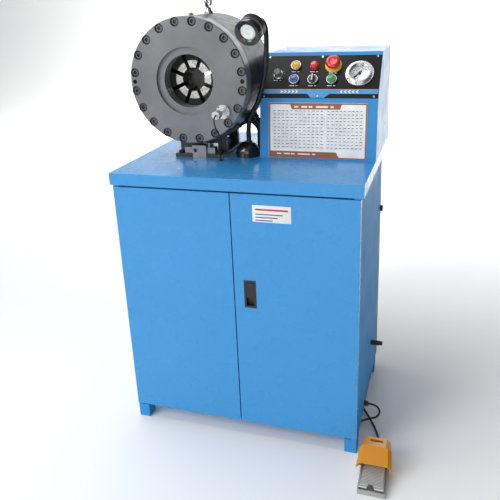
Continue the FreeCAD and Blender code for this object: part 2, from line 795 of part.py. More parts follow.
# ---------------------------------------------------------------- sensor on the front cover
def make_sensor():
    flange = rod(sensor_at - Y_AXIS * 8, Y_AXIS, 19.5, 8)
    hub = rod(sensor_at - Y_AXIS * 14, Y_AXIS, 11, 7)
    stem = rod(sensor_at - Y_AXIS * 50, Y_AXIS, 6, 40)
    body = fuse([flange, hub, stem])
    for dx, dz in ((-12, 12), (12, -12), (-12, -12), (12, 12)):
        body = body.cut(rod(sensor_at + V(dx, -9, dz), Y_AXIS, 1.8, 10))
    plug = rod(sensor_at - Y_AXIS * 65, Y_AXIS, 11, 24)
    plug = plug.cut(rod(sensor_at - Y_AXIS * 50, Y_AXIS, 6, 12))
    plug = plug.cut(rod(sensor_at - Y_AXIS * 66, Y_AXIS, sensor_cable_radius + 0.5, 3))
    return group([body, plug])


def sensor_hole():
    return V(head_x + 77, 180, top_height)


def sensor_cable_points():
    plug = sensor_at - Y_AXIS * 63.5
    hole = sensor_hole()
    return [plug, plug + V(1, -16.5, -2), plug + V(4, -26, -18), plug + V(7, -16, -40),
            plug + V(6, 12, -59), plug + V(-4, 40, -83), plug + V(-17, 64, -105),
            V(hole.x + 1.5, hole.y - 6, hole.z + 18), V(hole.x, hole.y, hole.z - 6)]


# ---------------------------------------------------------------- hoses, glands and the pedal cable
def port_way():
    return V(math.sqrt(0.5), 0, -math.sqrt(0.5))


def port_at(y):
    return V(head_x, y, head_z) + port_way() * head_radius


def hose_drop_x():
    return port_at(0).x + hose_reach


def make_hoses():
    solids = []
    valve_top = lid_top + valve_height
    ends = ((V(valve_x + 15, valve_y + 45, 0), valve_top + 192, valve_top + 112),
            (V(valve_x + 55, valve_y + 60, 0), valve_top + 152, valve_top + 82))
    for y, (end, first_low, second_low) in zip(hose_ports, ends):
        port = port_at(y)
        way = port_way()
        start = port + way * 20
        drop = V(hose_drop_x(), y, port.z - (hose_drop_x() - port.x))
        points = [start, drop, V(hose_drop_x(), y, first_low), V(end.x, end.y, second_low),
                  V(end.x, end.y, valve_top + 14)]
        hose = tube("hose", points, hose_radius)
        nut = hexagon_hole(port - way * spot_face, way, 26, 10)
        sleeve = rod(port + way * 8, way, 11, 12)
        tail = rod(port - way * 13, way, 7.9, 13)
        lower = rod(V(end.x, end.y, valve_top), Z_AXIS, 11, 14)
        solids += [hose, fuse([nut, sleeve, tail]), lower]
    return group(solids)


def mains_gland_at():
    return V(half_cabinet, 302, 186)


def pedal_gland_at():
    return V(half_cabinet, 155, 62)


def gland(at, way, length, bore):
    """A domed nut on a threaded stem that goes through the wall behind it."""
    nut = rod(at, way, gland_radius, length * 0.6)
    dome = Part.makeCone(gland_radius, gland_radius * 0.75, length * 0.4, at + way * (length * 0.6), way)
    stem = rod(at - way * 9, way, gland_radius - 2.1, 9)
    body = fuse([nut, dome, stem])
    return body.cut(rod(at - way * 10, way, bore, length + 12))


def make_glands():
    pieces = [gland(mains_gland_at(), X_AXIS, 35.0, 4.0),
              gland(pedal_gland_at(), X_AXIS, gland_length, pedal_cable_radius),
              gland(pedal_socket_at(), Y_AXIS, 12.0, pedal_cable_radius)]
    for y in hose_ports:
        ring_low = V(hose_drop_x(), y, top_height)
        pieces.append(ring(ring_low, Z_AXIS, hose_radius + 9, hose_radius + 0.3, 4))
    pieces.append(ring(sensor_hole(), Z_AXIS, sensor_cable_radius + 6, sensor_cable_radius + 2.4, 2))
    knob = rod(V(half_cabinet, cabinet_back + rear_panel_depth / 2, 581), X_AXIS, 10, 8)
    pieces.append(knob)
    return group(pieces)


def pedal_socket_at():
    return V(pedal_x, pedal_rear, 14)


def pedal_cable_points():
    """Out of the cabinet, down in a bow, under the cabinet and back, then to the pedal."""
    tip = pedal_gland_at() + X_AXIS * gland_length
    socket = pedal_socket_at() + Y_AXIS * 12
    return [tip, V(374, 155.5, 61), V(388, 157, 48), V(389, 158, 30), V(379, 157, 14),
            V(358, 151, 11), V(334, 141, 4.5), V(290, 120, 3.1), V(205, 98, 3.1), V(118, 92, 3.1),
            V(32, 104, 3.1), V(-38, 150, 3.1), V(-62, 228, 3.1), V(-36, 300, 3.1), V(32, 346, 3.1),
            V(117, 353, 3.1), V(200, 334, 3.1), V(264, 299, 3.1), V(306, 252, 3.1), V(336, 205, 3.1),
            V(363, 158, 3.1), V(386, 110, 3.1), V(400, 63, 3.4), V(403, 31, 9),
            V(socket.x, socket.y, socket.z)]


# ---------------------------------------------------------------- console
break_point = V(console_left, console_front + break_setback, top_height + break_height)
face_rise = console_height - break_height
face_run = console_setback - break_setback
face_turn = math.degrees(math.atan2(face_rise, face_run))
lower_turn = math.degrees(math.atan2(break_height, break_setback))


def on_face(shape, across, up):
    """Puts a shape made on z = 0 onto the sloping face, its z pointing out of it."""
    turn = FreeCAD.Rotation(X_AXIS, face_turn)
    place = break_point + turn.multVec(V(across, up, 0))
    shape.Placement = FreeCAD.Placement(place, turn).multiply(shape.Placement)
    return shape


def console_outline(inset):
    """Side outline, y and z, as points; inset shrinks it by the sheet's thickness."""
    front, back = console_front + inset * 1.1, console_back - inset
    low = top_height
    turn_in = inset * math.tan(math.radians((90 - face_turn) / 2))
    return [V(0, front, low), V(0, break_point.y + inset, break_point.z - turn_in),
            V(0, console_front + console_setback + inset * 0.5, top_height + console_height - inset),
            V(0, back, top_height + console_height - inset), V(0, back, low)]


def make_console_box():
    width = console_right - console_left
    outer = plate(console_outline(0.0), V(width, 0, 0))
    outer.translate(V(console_left, 0, 0))
    inner = plate(console_outline(console_sheet), V(width - 2 * console_sheet, 0, 0))
    inner.translate(V(console_left + console_sheet, 0, 0))
    body = outer.cut(inner)
    window = box(20, width - 20, 14, plate_high - 12, -20, 20)
    body = body.cut(on_face(window, 0, 0))
    holes = []
    for across, up in plate_screw_places():
        holes.append(on_face(rod(V(across, up, -8), Z_AXIS, 1.6, 12), 0, 0))
    return body.cut(group(holes))


def control_places():
    return {"push_button_yellow": (column_a, row_high), "indicator_lamp": (column_b, row_high),
            "emergency_stop": (column_c, row_high), "push_button_blue": (column_a, row_low),
            "selector_switch": (column_b, row_low), "push_button_green": (column_c, row_low)}


def make_face_plate():
    face = box(plate_edge, console_width - plate_edge, plate_edge, plate_high, 0, plate_thick)
    for across, up in control_places().values():
        face = face.cut(rod(V(across, up, -1), Z_AXIS, barrel_outer + 0.1, plate_thick + 2))
    face = face.cut(rod(V(speed_knob_at[0], speed_knob_at[1], -1), Z_AXIS, 4.5, plate_thick + 2))
    face = face.cut(rod(V(gauge_at[0], gauge_at[1], -1), Z_AXIS, gauge_bezel - 1.5, plate_thick + 2))
    for across, up in plate_screw_places():
        face = face.cut(rod(V(across, up, -1), Z_AXIS, 1.6, plate_thick + 2))
    return on_face(face, 0, 0)


def plate_screw_places():
    middle = console_width / 2
    places = []
    reach = middle - 12.0
    for up in (plate_edge + plate_screw_inset, plate_high - plate_screw_inset):
        for across in (middle - reach, middle, middle + reach):
            places.append((across, up))
    return places


def make_plate_screws():
    screws = []
    for across, up in plate_screw_places():
        head = Part.makeCone(3.6, 2.6, 1.8, V(across, up, plate_thick), Z_AXIS)
        slot = box(across - 2.4, across + 2.4, up - 0.4, up + 0.4, plate_thick + 1, plate_thick + 3)
        screw = fuse([head, rod(V(across, up, -0.5), Z_AXIS, 1.5, plate_thick + 0.6)]).cut(slot)
        screws.append(on_face(screw, 0, 0))
    return group(screws)


def make_chart_plate():
    left = console_left + chart_left
    chart = box(left, console_left + chart_right, chart_low, chart_high, 0, chart_thick)
    turn = FreeCAD.Rotation(X_AXIS, lower_turn)
    chart.Placement = FreeCAD.Placement(V(0, console_front, top_height), turn)
    return chart


def bezel():
    """The fixed part of a panel control: rim, floor and the barrel through the plate."""
    rim = rod(V(0, 0, plate_thick), Z_AXIS, bezel_radius, bezel_height)
    barrel = rod(V(0, 0, -22), Z_AXIS, barrel_outer, 22 + plate_thick + 1)
    body = fuse([rim, barrel])
    body = body.cut(rod(V(0, 0, plate_thick + 1), Z_AXIS, button_radius + slide_clear, bezel_height))
    return body.cut(rod(V(0, 0, -23), Z_AXIS, barrel_bore, 60))


def make_bezels():
    pieces = []
    for name, (across, up) in control_places().items():
        if name == "indicator_lamp":
            continue
        pieces.append(on_face(bezel(), across, up))
    across, up = control_places()["emergency_stop"]
    collar = ring(V(0, 0, plate_thick), Z_AXIS, 22.5, bezel_radius + 0.2, 3)
    pieces.append(on_face(collar, across, up))
    return group(pieces)


def make_button():
    low = plate_thick + 1 + button_travel + 0.5
    cap = rod(V(0, 0, low), Z_AXIS, button_radius, 4.5)
    cap = cap.makeFillet(1.2, [e for e in cap.Edges if e.BoundBox.ZMin > low + 4])
    stem = rod(V(0, 0, -14), Z_AXIS, barrel_bore - slide_clear, low + 14)
    return fuse([cap, stem])


def make_estop():
    low = plate_thick + bezel_height + estop_travel + 1
    head = rod(V(0, 0, low), Z_AXIS, estop_radius, 11)
    head = head.makeFillet(6.0, [e for e in head.Edges if e.BoundBox.ZMin > low + 10])
    neck = rod(V(0, 0, -12), Z_AXIS, barrel_bore - slide_clear, low + 13)
    return fuse([head, neck])


def make_selector():
    low = plate_thick + 1.5
    disc = rod(V(0, 0, low), Z_AXIS, button_radius, 6.5)
    bar = box(-3.5, 3.5, -11.5, 11.5, low + 6, low + 15)
    stem = rod(V(0, 0, -14), Z_AXIS, barrel_bore - slide_clear, low + 14)
    return fuse([disc, bar, stem])


def make_speed_knob():
    low = plate_thick + 0.6
    skirt = Part.makeCone(knob_radius, knob_radius - 2.5, 4, V(0, 0, low), Z_AXIS)
    grip = Part.makeCone(knob_radius - 4, knob_radius - 5, 13, V(0, 0, low + 3.5), Z_AXIS)
    shaft = rod(V(0, 0, -12), Z_AXIS, 4.2, low + 13)
    return fuse([skirt, grip, shaft])


def make_indicator():
    base = rod(V(0, 0, plate_thick), Z_AXIS, 13, 2.5)
    lens = rod(V(0, 0, plate_thick + 2), Z_AXIS, 11.5, 9)
    lens = lens.makeFillet(3.0, [e for e in lens.Edges if e.BoundBox.ZMin > plate_thick + 10])
    barrel = rod(V(0, 0, -22), Z_AXIS, barrel_outer, 22 + plate_thick + 1)
    return fuse([base, lens, barrel])


def make_gauge_case():
    z = plate_thick
    flange = rod(V(0, 0, z), Z_AXIS, gauge_flange, 3)
    rim = rod(V(0, 0, z + 2), Z_AXIS, gauge_bezel, 9)
    case = rod(V(0, 0, -28), Z_AXIS, gauge_bezel - 2, 28 + z + 3)
    body = fuse([flange, rim, case])
    body = body.cut(rod(V(0, 0, z + 3), Z_AXIS, gauge_window, 10))
    body = body.cut(rod(V(0, 0, z - 4), Z_AXIS, 1.5 + run_clear, 10))
    seat = rod(V(0, 0, z + 8), Z_AXIS, gauge_window + 1.5, 1.6)
    body = body.cut(seat)
    for k in range(3):
        turn = math.radians(90 + 120 * k)
        at = V(35.5 * math.cos(turn), 35.5 * math.sin(turn), z - 1)
        body = body.cut(rod(at, Z_AXIS, 1.8, 6))
    return body


def make_gauge_glass():
    return rod(V(0, 0, plate_thick + 8), Z_AXIS, gauge_window + 1.5, 1.6)


def make_needle():
    z = plate_thick + 4.2
    hub = rod(V(0, 0, z), Z_AXIS, 3.6, 2)
    arm = box(-0.9, 0.9, -8, 21, z + 0.4, z + 1.4)
    shaft = rod(V(0, 0, z - 4.5), Z_AXIS, 1.5, 4.7)
    needle = fuse([hub, arm, shaft])
    needle.rotate(V(0, 0, 0), Z_AXIS, 135)
    return needle


# ---------------------------------------------------------------- lamp
lamp_way = V(lamp_aim).normalize()
lamp_front = V(lamp_base_at[0], lamp_base_at[1], top_height) + lamp_reach
lamp_back = lamp_front - lamp_way * lamp_length
ball_centre = lamp_back - lamp_way * ball_setback


def make_lamp_base():
    x, y = lamp_base_at
    foot = rod(V(x, y, top_height), Z_AXIS, lamp_base_radius, 12)
    dome_radius = lamp_base_radius - 2
    dome = Part.makeSphere(dome_radius, V(x, y, top_height + 10), Z_AXIS, 0, 90, 360)
    neck_low = neck_points()[-1]
    collar = rod(V(neck_low.x, neck_low.y, top_height + 30), Z_AXIS, neck_radius + 4, 16)
    base = fuse([foot, dome, collar])
    return base.cut(rod(V(neck_low.x, neck_low.y, neck_low.z), Z_AXIS, neck_radius, 40))


def neck_points():
    """From the ball behind the lamp, over and down to the base; heights are above the tabletop."""
    x, y = lamp_base_at
    low = V(x, y, top_height)
    start = ball_centre - lamp_way * ball_stem_length
    places = [V(64, -34, 383), V(69, -24, 373), V(73, -23, 359), V(75, -26, 341), V(76, -32, 307),
              V(74, -33, 273), V(65, -24, 233), V(54, -16, 195), V(39, -11, 158), V(21, -7, 129),
              V(8, -3, 103), V(4, 0, 73), V(4, 0, 38)]
    return [start] + [low + place for place in places]


def make_neck():
    """The bent arm, with the ball that the lamp turns on."""
    arm = tube("gooseneck", neck_points(), neck_radius)
    ball = Part.makeSphere(ball_radius, ball_centre)
    stem = rod(ball_centre, lamp_way * -1, ball_stem_radius, ball_stem_length + 1)
    return fuse([arm, ball, stem])


def make_lamp_head():
    backwards = lamp_way * -1
    barrel = rod(lamp_front, backwards, lamp_radius, lamp_length - 14)
    back = Part.makeCone(lamp_radius, 17, 14, lamp_back + lamp_way * 14, backwards)
    socket = rod(lamp_back + lamp_way, backwards, socket_radius, socket_length + 1)
    body = fuse([barrel, back, socket])
    body = body.cut(Part.makeSphere(ball_radius + slide_clear, ball_centre))
    body = body.cut(rod(lamp_front + lamp_way, backwards, lamp_radius - 12, 12))
    for k in range(4):
        start = lamp_front - lamp_way * (22 + 7 * k)
        if 22 + 7 * k + 3 < lamp_length - 14:
            body = body.cut(ring(start, backwards, lamp_radius + 1, lamp_radius - 2, 3))
    return body


def make_lamp_lens():
    return rod(lamp_front - lamp_way * 5, lamp_way * -1, lamp_radius - 12.2, 5.5)


# ---------------------------------------------------------------- foot pedal
def make_pedal_base():
    x0, x1 = pedal_x - pedal_half, pedal_x + pedal_half
    outer_side = [V(x0, pedal_front, 0), V(x0, pedal_rear, 0), V(x0, pedal_rear, 26),
                  V(x0, pedal_front + 70, 26), V(x0, pedal_front, 14)]
    body = plate(outer_side, V(2 * pedal_half, 0, 0))
    w = pedal_wall
    body = body.cut(box(x0 + w, x1 - w, pedal_front + w, pedal_rear - w, w, 60))
    body = body.cut(rod(V(pedal_x, pedal_front - 1, 6), Y_AXIS, 2, w + 2))
    body = body.cut(rod(V(x0 - 1, tread_pin_y, tread_pin_z), X_AXIS, tread_pin_radius, 2 * pedal_half + 2))
    body = body.cut(rod(pedal_socket_at() - Y_AXIS * 10, Y_AXIS, gland_radius - 2, 20))
    switch = box(x0 + 20, x1 - 20, pedal_front + 35, pedal_front + 80, w - 0.5, 12)
    return fuse([body, switch])


def make_tread():
    gap = 1.0
    x0 = pedal_x - pedal_half + pedal_wall + gap
    x1 = pedal_x + pedal_half - pedal_wall - gap
    top = tread_low + tread_thick
    deck = box(x0, x1, pedal_front + 1, tread_pin_y + 8, tread_low, top)
    ribs = []
    rib_pitch = 5.0
    rib_count = int((tread_pin_y - pedal_front - 10) / rib_pitch)
    for k in range(rib_count):
        y = pedal_front + 8 + k * rib_pitch
        ribs.append(box(x0 + 4, x1 - 4, y, y + 2.2, top - 0.5, top + 1.2))
    ears = []
    for x in (x0, x1 - 6):
        ears.append(box(x, x + 6, tread_pin_y - 7, tread_pin_y + 7, tread_pin_z - 7, tread_low + 1))
    lip = box(x0, x1, pedal_front + 1, pedal_front + 4, tread_low - 1, top)
    tread = fuse([deck, lip] + ribs + ears)
    notch = plate([V(pedal_x - 12, pedal_front, 10), V(pedal_x - 6, pedal_front + 15, 10),
                   V(pedal_x + 2, pedal_front + 15, 10), V(pedal_x + 9, pedal_front, 10)], V(0, 0, 40))
    tread = tread.cut(notch)
    return tread.cut(rod(V(x0 - 1, tread_pin_y, tread_pin_z), X_AXIS, tread_pin_radius + run_clear,
                         x1 - x0 + 2))


def hood_section(y, low_half, low, top_half, top, chamfer):
    """Upside-down trough outline across the pedal."""
    points = [V(pedal_x - low_half, y, low), V(pedal_x - top_half, y, top - chamfer),
              V(pedal_x - top_half + chamfer, y, top), V(pedal_x + top_half - chamfer, y, top),
              V(pedal_x + top_half, y, top - chamfer), V(pedal_x + low_half, y, low)]
    return Part.makePolygon(points + [points[0]])


def make_hood():
    """A narrow rear part and a wider skirt that flares to the lip, each a folded shell."""
    s = hood_sheet
    rear_half = pedal_half + s + hood_play
    front_half = rear_half + hood_step
    top = hood_top

    def shell(grow):
        """The hood's outer form, or the space inside it with grow = the sheet's thickness."""
        over = 1.0 if grow else 0.0
        rear = Part.makeLoft([hood_section(pedal_rear - grow, rear_half - grow, 8 - over, rear_half - 4 - grow,
                                           top - 6 - grow, 10 - over),
                              hood_section(hood_knee - (s + 1) * over, rear_half - grow, 8 - over,
                                           rear_half - 4 - grow, top - grow, 10 - over)], True, True)
        skirt = Part.makeLoft([hood_section(hood_knee - grow, front_half - grow, 8 - over,
                                            front_half - 3 - grow, top - grow, 10 - over),
                               hood_section(hood_lip - 2 * over, front_half + 3 - grow, hood_lip_height - 11 - over,
                                            front_half - grow, hood_lip_height + 6 - grow, 8 - over)],
                              True, True)
        return rear, skirt

    rear, skirt = shell(0.0)
    rear_space, skirt_space = shell(s)
    hood = rear.fuse(skirt).cut(rear_space).cut(skirt_space).removeSplitter()
    hood = hood.cut(box(pedal_x - 60, pedal_x + 60, pedal_rear - s - 1, pedal_rear + 1, 0, 27))
    slot = box(pedal_x - 17, pedal_x + 17, pedal_rear - 22, pedal_rear - 10, hood_top - 20, hood_top + 5)
    return hood.cut(slot)


def make_tread_pin():
    return rod(V(pedal_x - pedal_half, tread_pin_y, tread_pin_z), X_AXIS, tread_pin_radius, 2 * pedal_half)


# ---------------------------------------------------------------- every node
nodes["tabletop"] = make_tabletop()
nodes["cabinet_body"] = make_cabinet_body()
nodes["rear_panel"] = make_rear_panel()
nodes["cabinet_feet"] = make_feet()
nodes["left_door"] = make_left_door()
nodes["right_door"] = make_right_door()
nodes["door_pull_cup"] = make_pull_cup()
nodes["door_pull"] = make_pull()
nodes["hinge_pins"] = make_hinge_pins()
nodes["oil_tank"] = make_tank()
nodes["electric_motor"] = make_motor()
nodes["hydraulic_pump"] = make_pump()
nodes["valve_block"] = make_valve_block()
nodes["electrical_box"] = make_electrical_box()
nodes["hydraulic_hoses"] = make_hoses()
nodes["glands_and_grommets"] = make_glands()
nodes["head_body"] = make_head_body()
nodes["front_cover"] = make_front_cover()
nodes["cover_screws"] = group(make_cover_screws().Solids + make_rear_screws())
nodes["rear_cover"] = make_rear_cover()
nodes["ram"] = make_ram()
for k in range(die_count):
    nodes[f"crimping_die_{k + 1}"] = make_die(k)
nodes["bleed_plug"] = make_bleed_plug()
nodes["lifting_eye"] = make_lifting_eye()
nodes["head_cradle"] = make_cradle()
nodes["cradle_bolts"] = make_cradle_bolts()
nodes["manifold_block"] = make_manifold()
nodes["position_sensor"] = make_sensor()
nodes["sensor_cable"] = tube("sensor cable", sensor_cable_points(), sensor_cable_radius)
nodes["console_box"] = make_console_box()
nodes["console_face_plate"] = make_face_plate()
nodes["face_plate_screws"] = make_plate_screws()
nodes["chart_plate"] = make_chart_plate()
nodes["control_bezels"] = make_bezels()
for colour in ("yellow", "blue", "green"):
    name = "push_button_" + colour
    nodes[name] = on_face(make_button(), *control_places()[name])
nodes["emergency_stop"] = on_face(make_estop(), *control_places()["emergency_stop"])
nodes["selector_switch"] = on_face(make_selector(), *control_places()["selector_switch"])
nodes["indicator_lamp"] = on_face(make_indicator(), *control_places()["indicator_lamp"])
nodes["speed_knob"] = on_face(make_speed_knob(), *speed_knob_at)
nodes["gauge_case"] = on_face(make_gauge_case(), *gauge_at)
nodes["gauge_glass"] = on_face(make_gauge_glass(), *gauge_at)
nodes["gauge_needle"] = on_face(make_needle(), *gauge_at)
nodes["lamp_base"] = make_lamp_base()
nodes["lamp_gooseneck"] = make_neck()
nodes["lamp_head"] = make_lamp_head()
nodes["lamp_lens"] = make_lamp_lens()
nodes["pedal_base"] = make_pedal_base()
nodes["pedal_tread"] = make_tread()
nodes["pedal_hood"] = make_hood()
nodes["pedal_pin"] = make_tread_pin()
nodes["pedal_cable"] = tube("pedal cable", pedal_cable_points(), pedal_cable_radius)
cord_names += ["sensor_cable", "pedal_cable"]

# The origin: middle of the box round the machine, on the floor, cables left out.
whole = FreeCAD.BoundBox()
for name, shape in nodes.items():
    if name not in cord_names:
        whole.add(shape.BoundBox)
shift = V(-(whole.XMin + whole.XMax) / 2, -(whole.YMin + whole.YMax) / 2, 0)
os.makedirs("parts", exist_ok=True)
for name, shape in nodes.items():
    shape.translate(shift)
    if not shape.isValid() or not shape.Solids:
        print("not a valid solid:", name)
    shape.exportStep(f"parts/{name}.step")
print(len(nodes), "nodes, box", [round(v) for v in (whole.XLength, whole.YLength, whole.ZMax, whole.ZMin)],
      "shift", [round(v, 2) for v in shift])
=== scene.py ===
import json
import math

import bpy
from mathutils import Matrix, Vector


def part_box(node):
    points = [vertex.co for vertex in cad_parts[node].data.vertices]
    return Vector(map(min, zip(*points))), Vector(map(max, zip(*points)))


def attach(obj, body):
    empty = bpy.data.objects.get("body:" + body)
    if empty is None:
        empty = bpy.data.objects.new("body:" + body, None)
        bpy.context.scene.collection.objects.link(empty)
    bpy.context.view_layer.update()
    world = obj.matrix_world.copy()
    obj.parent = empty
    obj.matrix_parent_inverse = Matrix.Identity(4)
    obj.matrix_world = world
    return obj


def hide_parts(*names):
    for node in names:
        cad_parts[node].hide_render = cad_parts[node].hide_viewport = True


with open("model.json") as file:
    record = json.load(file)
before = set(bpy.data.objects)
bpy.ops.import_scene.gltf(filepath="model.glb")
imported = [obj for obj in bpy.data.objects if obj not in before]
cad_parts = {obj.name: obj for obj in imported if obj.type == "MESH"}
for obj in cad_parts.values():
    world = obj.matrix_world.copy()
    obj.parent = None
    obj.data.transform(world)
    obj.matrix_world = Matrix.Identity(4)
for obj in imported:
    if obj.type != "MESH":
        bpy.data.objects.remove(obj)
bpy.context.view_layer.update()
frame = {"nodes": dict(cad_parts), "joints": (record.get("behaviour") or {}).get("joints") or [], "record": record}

# ---------------------------------------------------------------- camera
# It stands a little right of the machine at eye height for a seated person, and looks slightly down.
top_low, top_high = (Vector(corner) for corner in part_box("tabletop"))
front_edge = Vector(((top_low.x + top_high.x) / 2, top_low.y, 0))
bpy.ops.object.camera_add(location=front_edge + Vector((0.5282, -1.40966, 1.22809)),
                          rotation=(1.238708, 0.041627, 0.308558))
camera = bpy.context.object
camera.data.lens = 43.616
camera.data.sensor_width = 36
camera.data.shift_y = -0.08
bpy.context.scene.camera = camera


# ---------------------------------------------------------------- pedal and sensor cables
# Two round cables with black rubber jackets. The thick one leaves the cabinet's right side, runs in
# a long loop under the cabinet and ends in the foot pedal; the thin one joins the sensor's plug to
# the hole in the tabletop.
def material_for(name, colour, roughness, metallic=0.0):
    """A new material with its plain values set, and its pieces: tree, shader and object coordinates."""
    material = bpy.data.materials.new(name)
    material.use_nodes = True
    tree = material.node_tree
    shader = tree.nodes["Principled BSDF"]
    shader.inputs["Base Color"].default_value = (*colour, 1)
    shader.inputs["Roughness"].default_value = roughness
    shader.inputs["Metallic"].default_value = metallic
    place = tree.nodes.new("ShaderNodeTexCoord").outputs["Object"]
    return material, tree, shader, place


def grain(tree, place, scale, detail=3.0, stretch=(1, 1, 1)):
    """Noise at so many cells a metre, drawn out along an axis where stretch is small."""
    mapping = tree.nodes.new("ShaderNodeMapping")
    mapping.inputs["Scale"].default_value = stretch
    tree.links.new(place, mapping.inputs["Vector"])
    noise = tree.nodes.new("ShaderNodeTexNoise")
    noise.inputs["Scale"].default_value = scale
    noise.inputs["Detail"].default_value = detail
    tree.links.new(mapping.outputs["Vector"], noise.inputs["Vector"])
    return noise.outputs["Fac"]


def spread(tree, factor, low, high, from_low=0.3, from_high=0.7):
    """A factor stretched between two values."""
    spread_node = tree.nodes.new("ShaderNodeMapRange")
    spread_node.inputs["From Min"].default_value = from_low
    spread_node.inputs["From Max"].default_value = from_high
    spread_node.inputs["To Min"].default_value = low
    spread_node.inputs["To Max"].default_value = high
    tree.links.new(factor, spread_node.inputs["Value"])
    return spread_node.outputs["Result"]


def tint(tree, shader, factor, colour, other):
    """Base colour that wanders between two colours."""
    mix = tree.nodes.new("ShaderNodeMix")
    mix.data_type = "RGBA"
    mix.inputs["A"].default_value = (*colour, 1)
    mix.inputs["B"].default_value = (*other, 1)
    tree.links.new(factor, mix.inputs["Factor"])
    tree.links.new(mix.outputs["Result"], shader.inputs["Base Color"])


def relief(tree, shader, height, depth, strength=1.0):
    """Fine relief of so many metres on the shader's normal."""
    bump = tree.nodes.new("ShaderNodeBump")
    bump.inputs["Distance"].default_value = depth
    bump.inputs["Strength"].default_value = strength
    tree.links.new(height, bump.inputs["Height"])
    tree.links.new(bump.outputs["Normal"], shader.inputs["Normal"])


def darker(colour, share):
    return tuple(value * share for value in colour)


def rubber(name, colour):
    """Extruded or moulded rubber: dull, faintly dusty, with a fine pebble."""
    material, tree, shader, place = material_for(name, colour, 0.55)
    dust = grain(tree, place, 60)
    tint(tree, shader, spread(tree, dust, 0, 1, 0.45, 0.75), colour, tuple(value + 0.02 for value in colour))
    tree.links.new(spread(tree, grain(tree, place, 140), 0.45, 0.7), shader.inputs["Roughness"])
    relief(tree, shader, grain(tree, place, 1800, 2), 0.0001, 0.5)
    return material


def cable(name, points, diameter, material):
    """A round cable along one smooth line that its given points draw."""
    curve = bpy.data.curves.new(name, "CURVE")
    curve.dimensions = "3D"
    spline = curve.splines.new("NURBS")
    spline.points.add(len(points) - 1)
    for point, place in zip(spline.points, points):
        point.co = (*(front_edge + Vector(place)), 1)
    spline.order_u = 3
    spline.use_endpoint_u = True
    spline.resolution_u = 12
    curve.bevel_depth = diameter / 2
    curve.bevel_resolution = 5
    curve.use_fill_caps = True
    piece = bpy.data.objects.new(name, curve)
    bpy.context.scene.collection.objects.link(piece)
    curve.materials.append(material)
    return piece


cable_jacket = rubber("cable_jacket", (0.014, 0.014, 0.015))
pedal_route = [
    (0.356, 0.155, 0.062), (0.374, 0.1555, 0.061), (0.388, 0.157, 0.048), (0.389, 0.158, 0.030),
    (0.379, 0.157, 0.014), (0.358, 0.151, 0.011), (0.334, 0.141, 0.0045), (0.290, 0.120, 0.0031),
    (0.205, 0.098, 0.0031), (0.118, 0.092, 0.0031), (0.032, 0.104, 0.0031), (-0.038, 0.150, 0.0031),
    (-0.062, 0.228, 0.0031), (-0.036, 0.300, 0.0031), (0.032, 0.346, 0.0031), (0.117, 0.353, 0.0031),
    (0.200, 0.334, 0.0031), (0.264, 0.299, 0.0031), (0.306, 0.252, 0.0031), (0.336, 0.205, 0.0031),
    (0.363, 0.158, 0.0031), (0.386, 0.110, 0.0031), (0.400, 0.063, 0.0034), (0.403, 0.031, 0.009),
    (0.400, 0.007, 0.014)]
pedal_lead = cable("pedal_lead", pedal_route, 0.006, cable_jacket)
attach(pedal_lead, "machine")
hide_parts("pedal_cable")

sensor_route = [
    (-0.059, 0.0915, 0.9435), (-0.058, 0.075, 0.9415), (-0.055, 0.0655, 0.9255),
    (-0.052, 0.0755, 0.9035), (-0.053, 0.1035, 0.8845), (-0.063, 0.1315, 0.8605),
    (-0.076, 0.1555, 0.8385), (-0.0835, 0.174, 0.815), (-0.085, 0.180, 0.791)]
sensor_lead = cable("sensor_lead", sensor_route, 0.004, cable_jacket)
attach(sensor_lead, "machine")
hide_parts("sensor_cable")


# ---------------------------------------------------------------- studio
# Pale paper that curves up into a backdrop, a large soft key light from the front left, a weaker fill
# from the front, a light above and one on the backdrop. The room is darker on the right.
def only(piece):
    """Selects one object and nothing else."""
    bpy.ops.object.select_all(action="DESELECT")
    piece.select_set(True)
    bpy.context.view_layer.objects.active = piece


bpy.ops.object.select_all(action="DESELECT")
bpy.ops.mesh.primitive_plane_add(size=14, location=(0, 1, 0))
studio_floor = bpy.context.object
studio_floor.name = "studio_floor"
bpy.ops.object.transform_apply(location=True)
bpy.ops.object.mode_set(mode="EDIT")
bpy.ops.mesh.select_all(action="DESELECT")
bpy.ops.object.mode_set(mode="OBJECT")
for edge in studio_floor.data.edges:
    ends = [studio_floor.data.vertices[i].co.y for i in edge.vertices]
    edge.select = min(ends) > 7
bpy.ops.object.mode_set(mode="EDIT")
bpy.ops.mesh.select_mode(type="EDGE")
bpy.ops.mesh.extrude_region_move(TRANSFORM_OT_translate={"value": (0, 0, 7)})
bpy.ops.object.mode_set(mode="OBJECT")
cove = studio_floor.modifiers.new("cove", "BEVEL")
cove.width = 3
cove.segments = 16
bpy.ops.object.modifier_apply(modifier="cove")
bpy.ops.object.shade_smooth()
paper, paper_tree, paper_shader, paper_place = material_for("studio_paper", (0.95, 0.95, 0.945), 0.9)
paper_tree.links.new(spread(paper_tree, grain(paper_tree, paper_place, 3), 0.8, 0.95),
                     paper_shader.inputs["Roughness"])
studio_floor.data.materials.append(paper)


def soft_light(name, place, towards, size, power):
    """A square soft box aimed at a point."""
    bpy.ops.object.light_add(type="AREA", location=place)
    light = bpy.context.object
    light.name = name
    light.data.size = size
    light.data.energy = power
    light.rotation_euler = (Vector(towards) - Vector(place)).to_track_quat("-Z", "Y").to_euler()


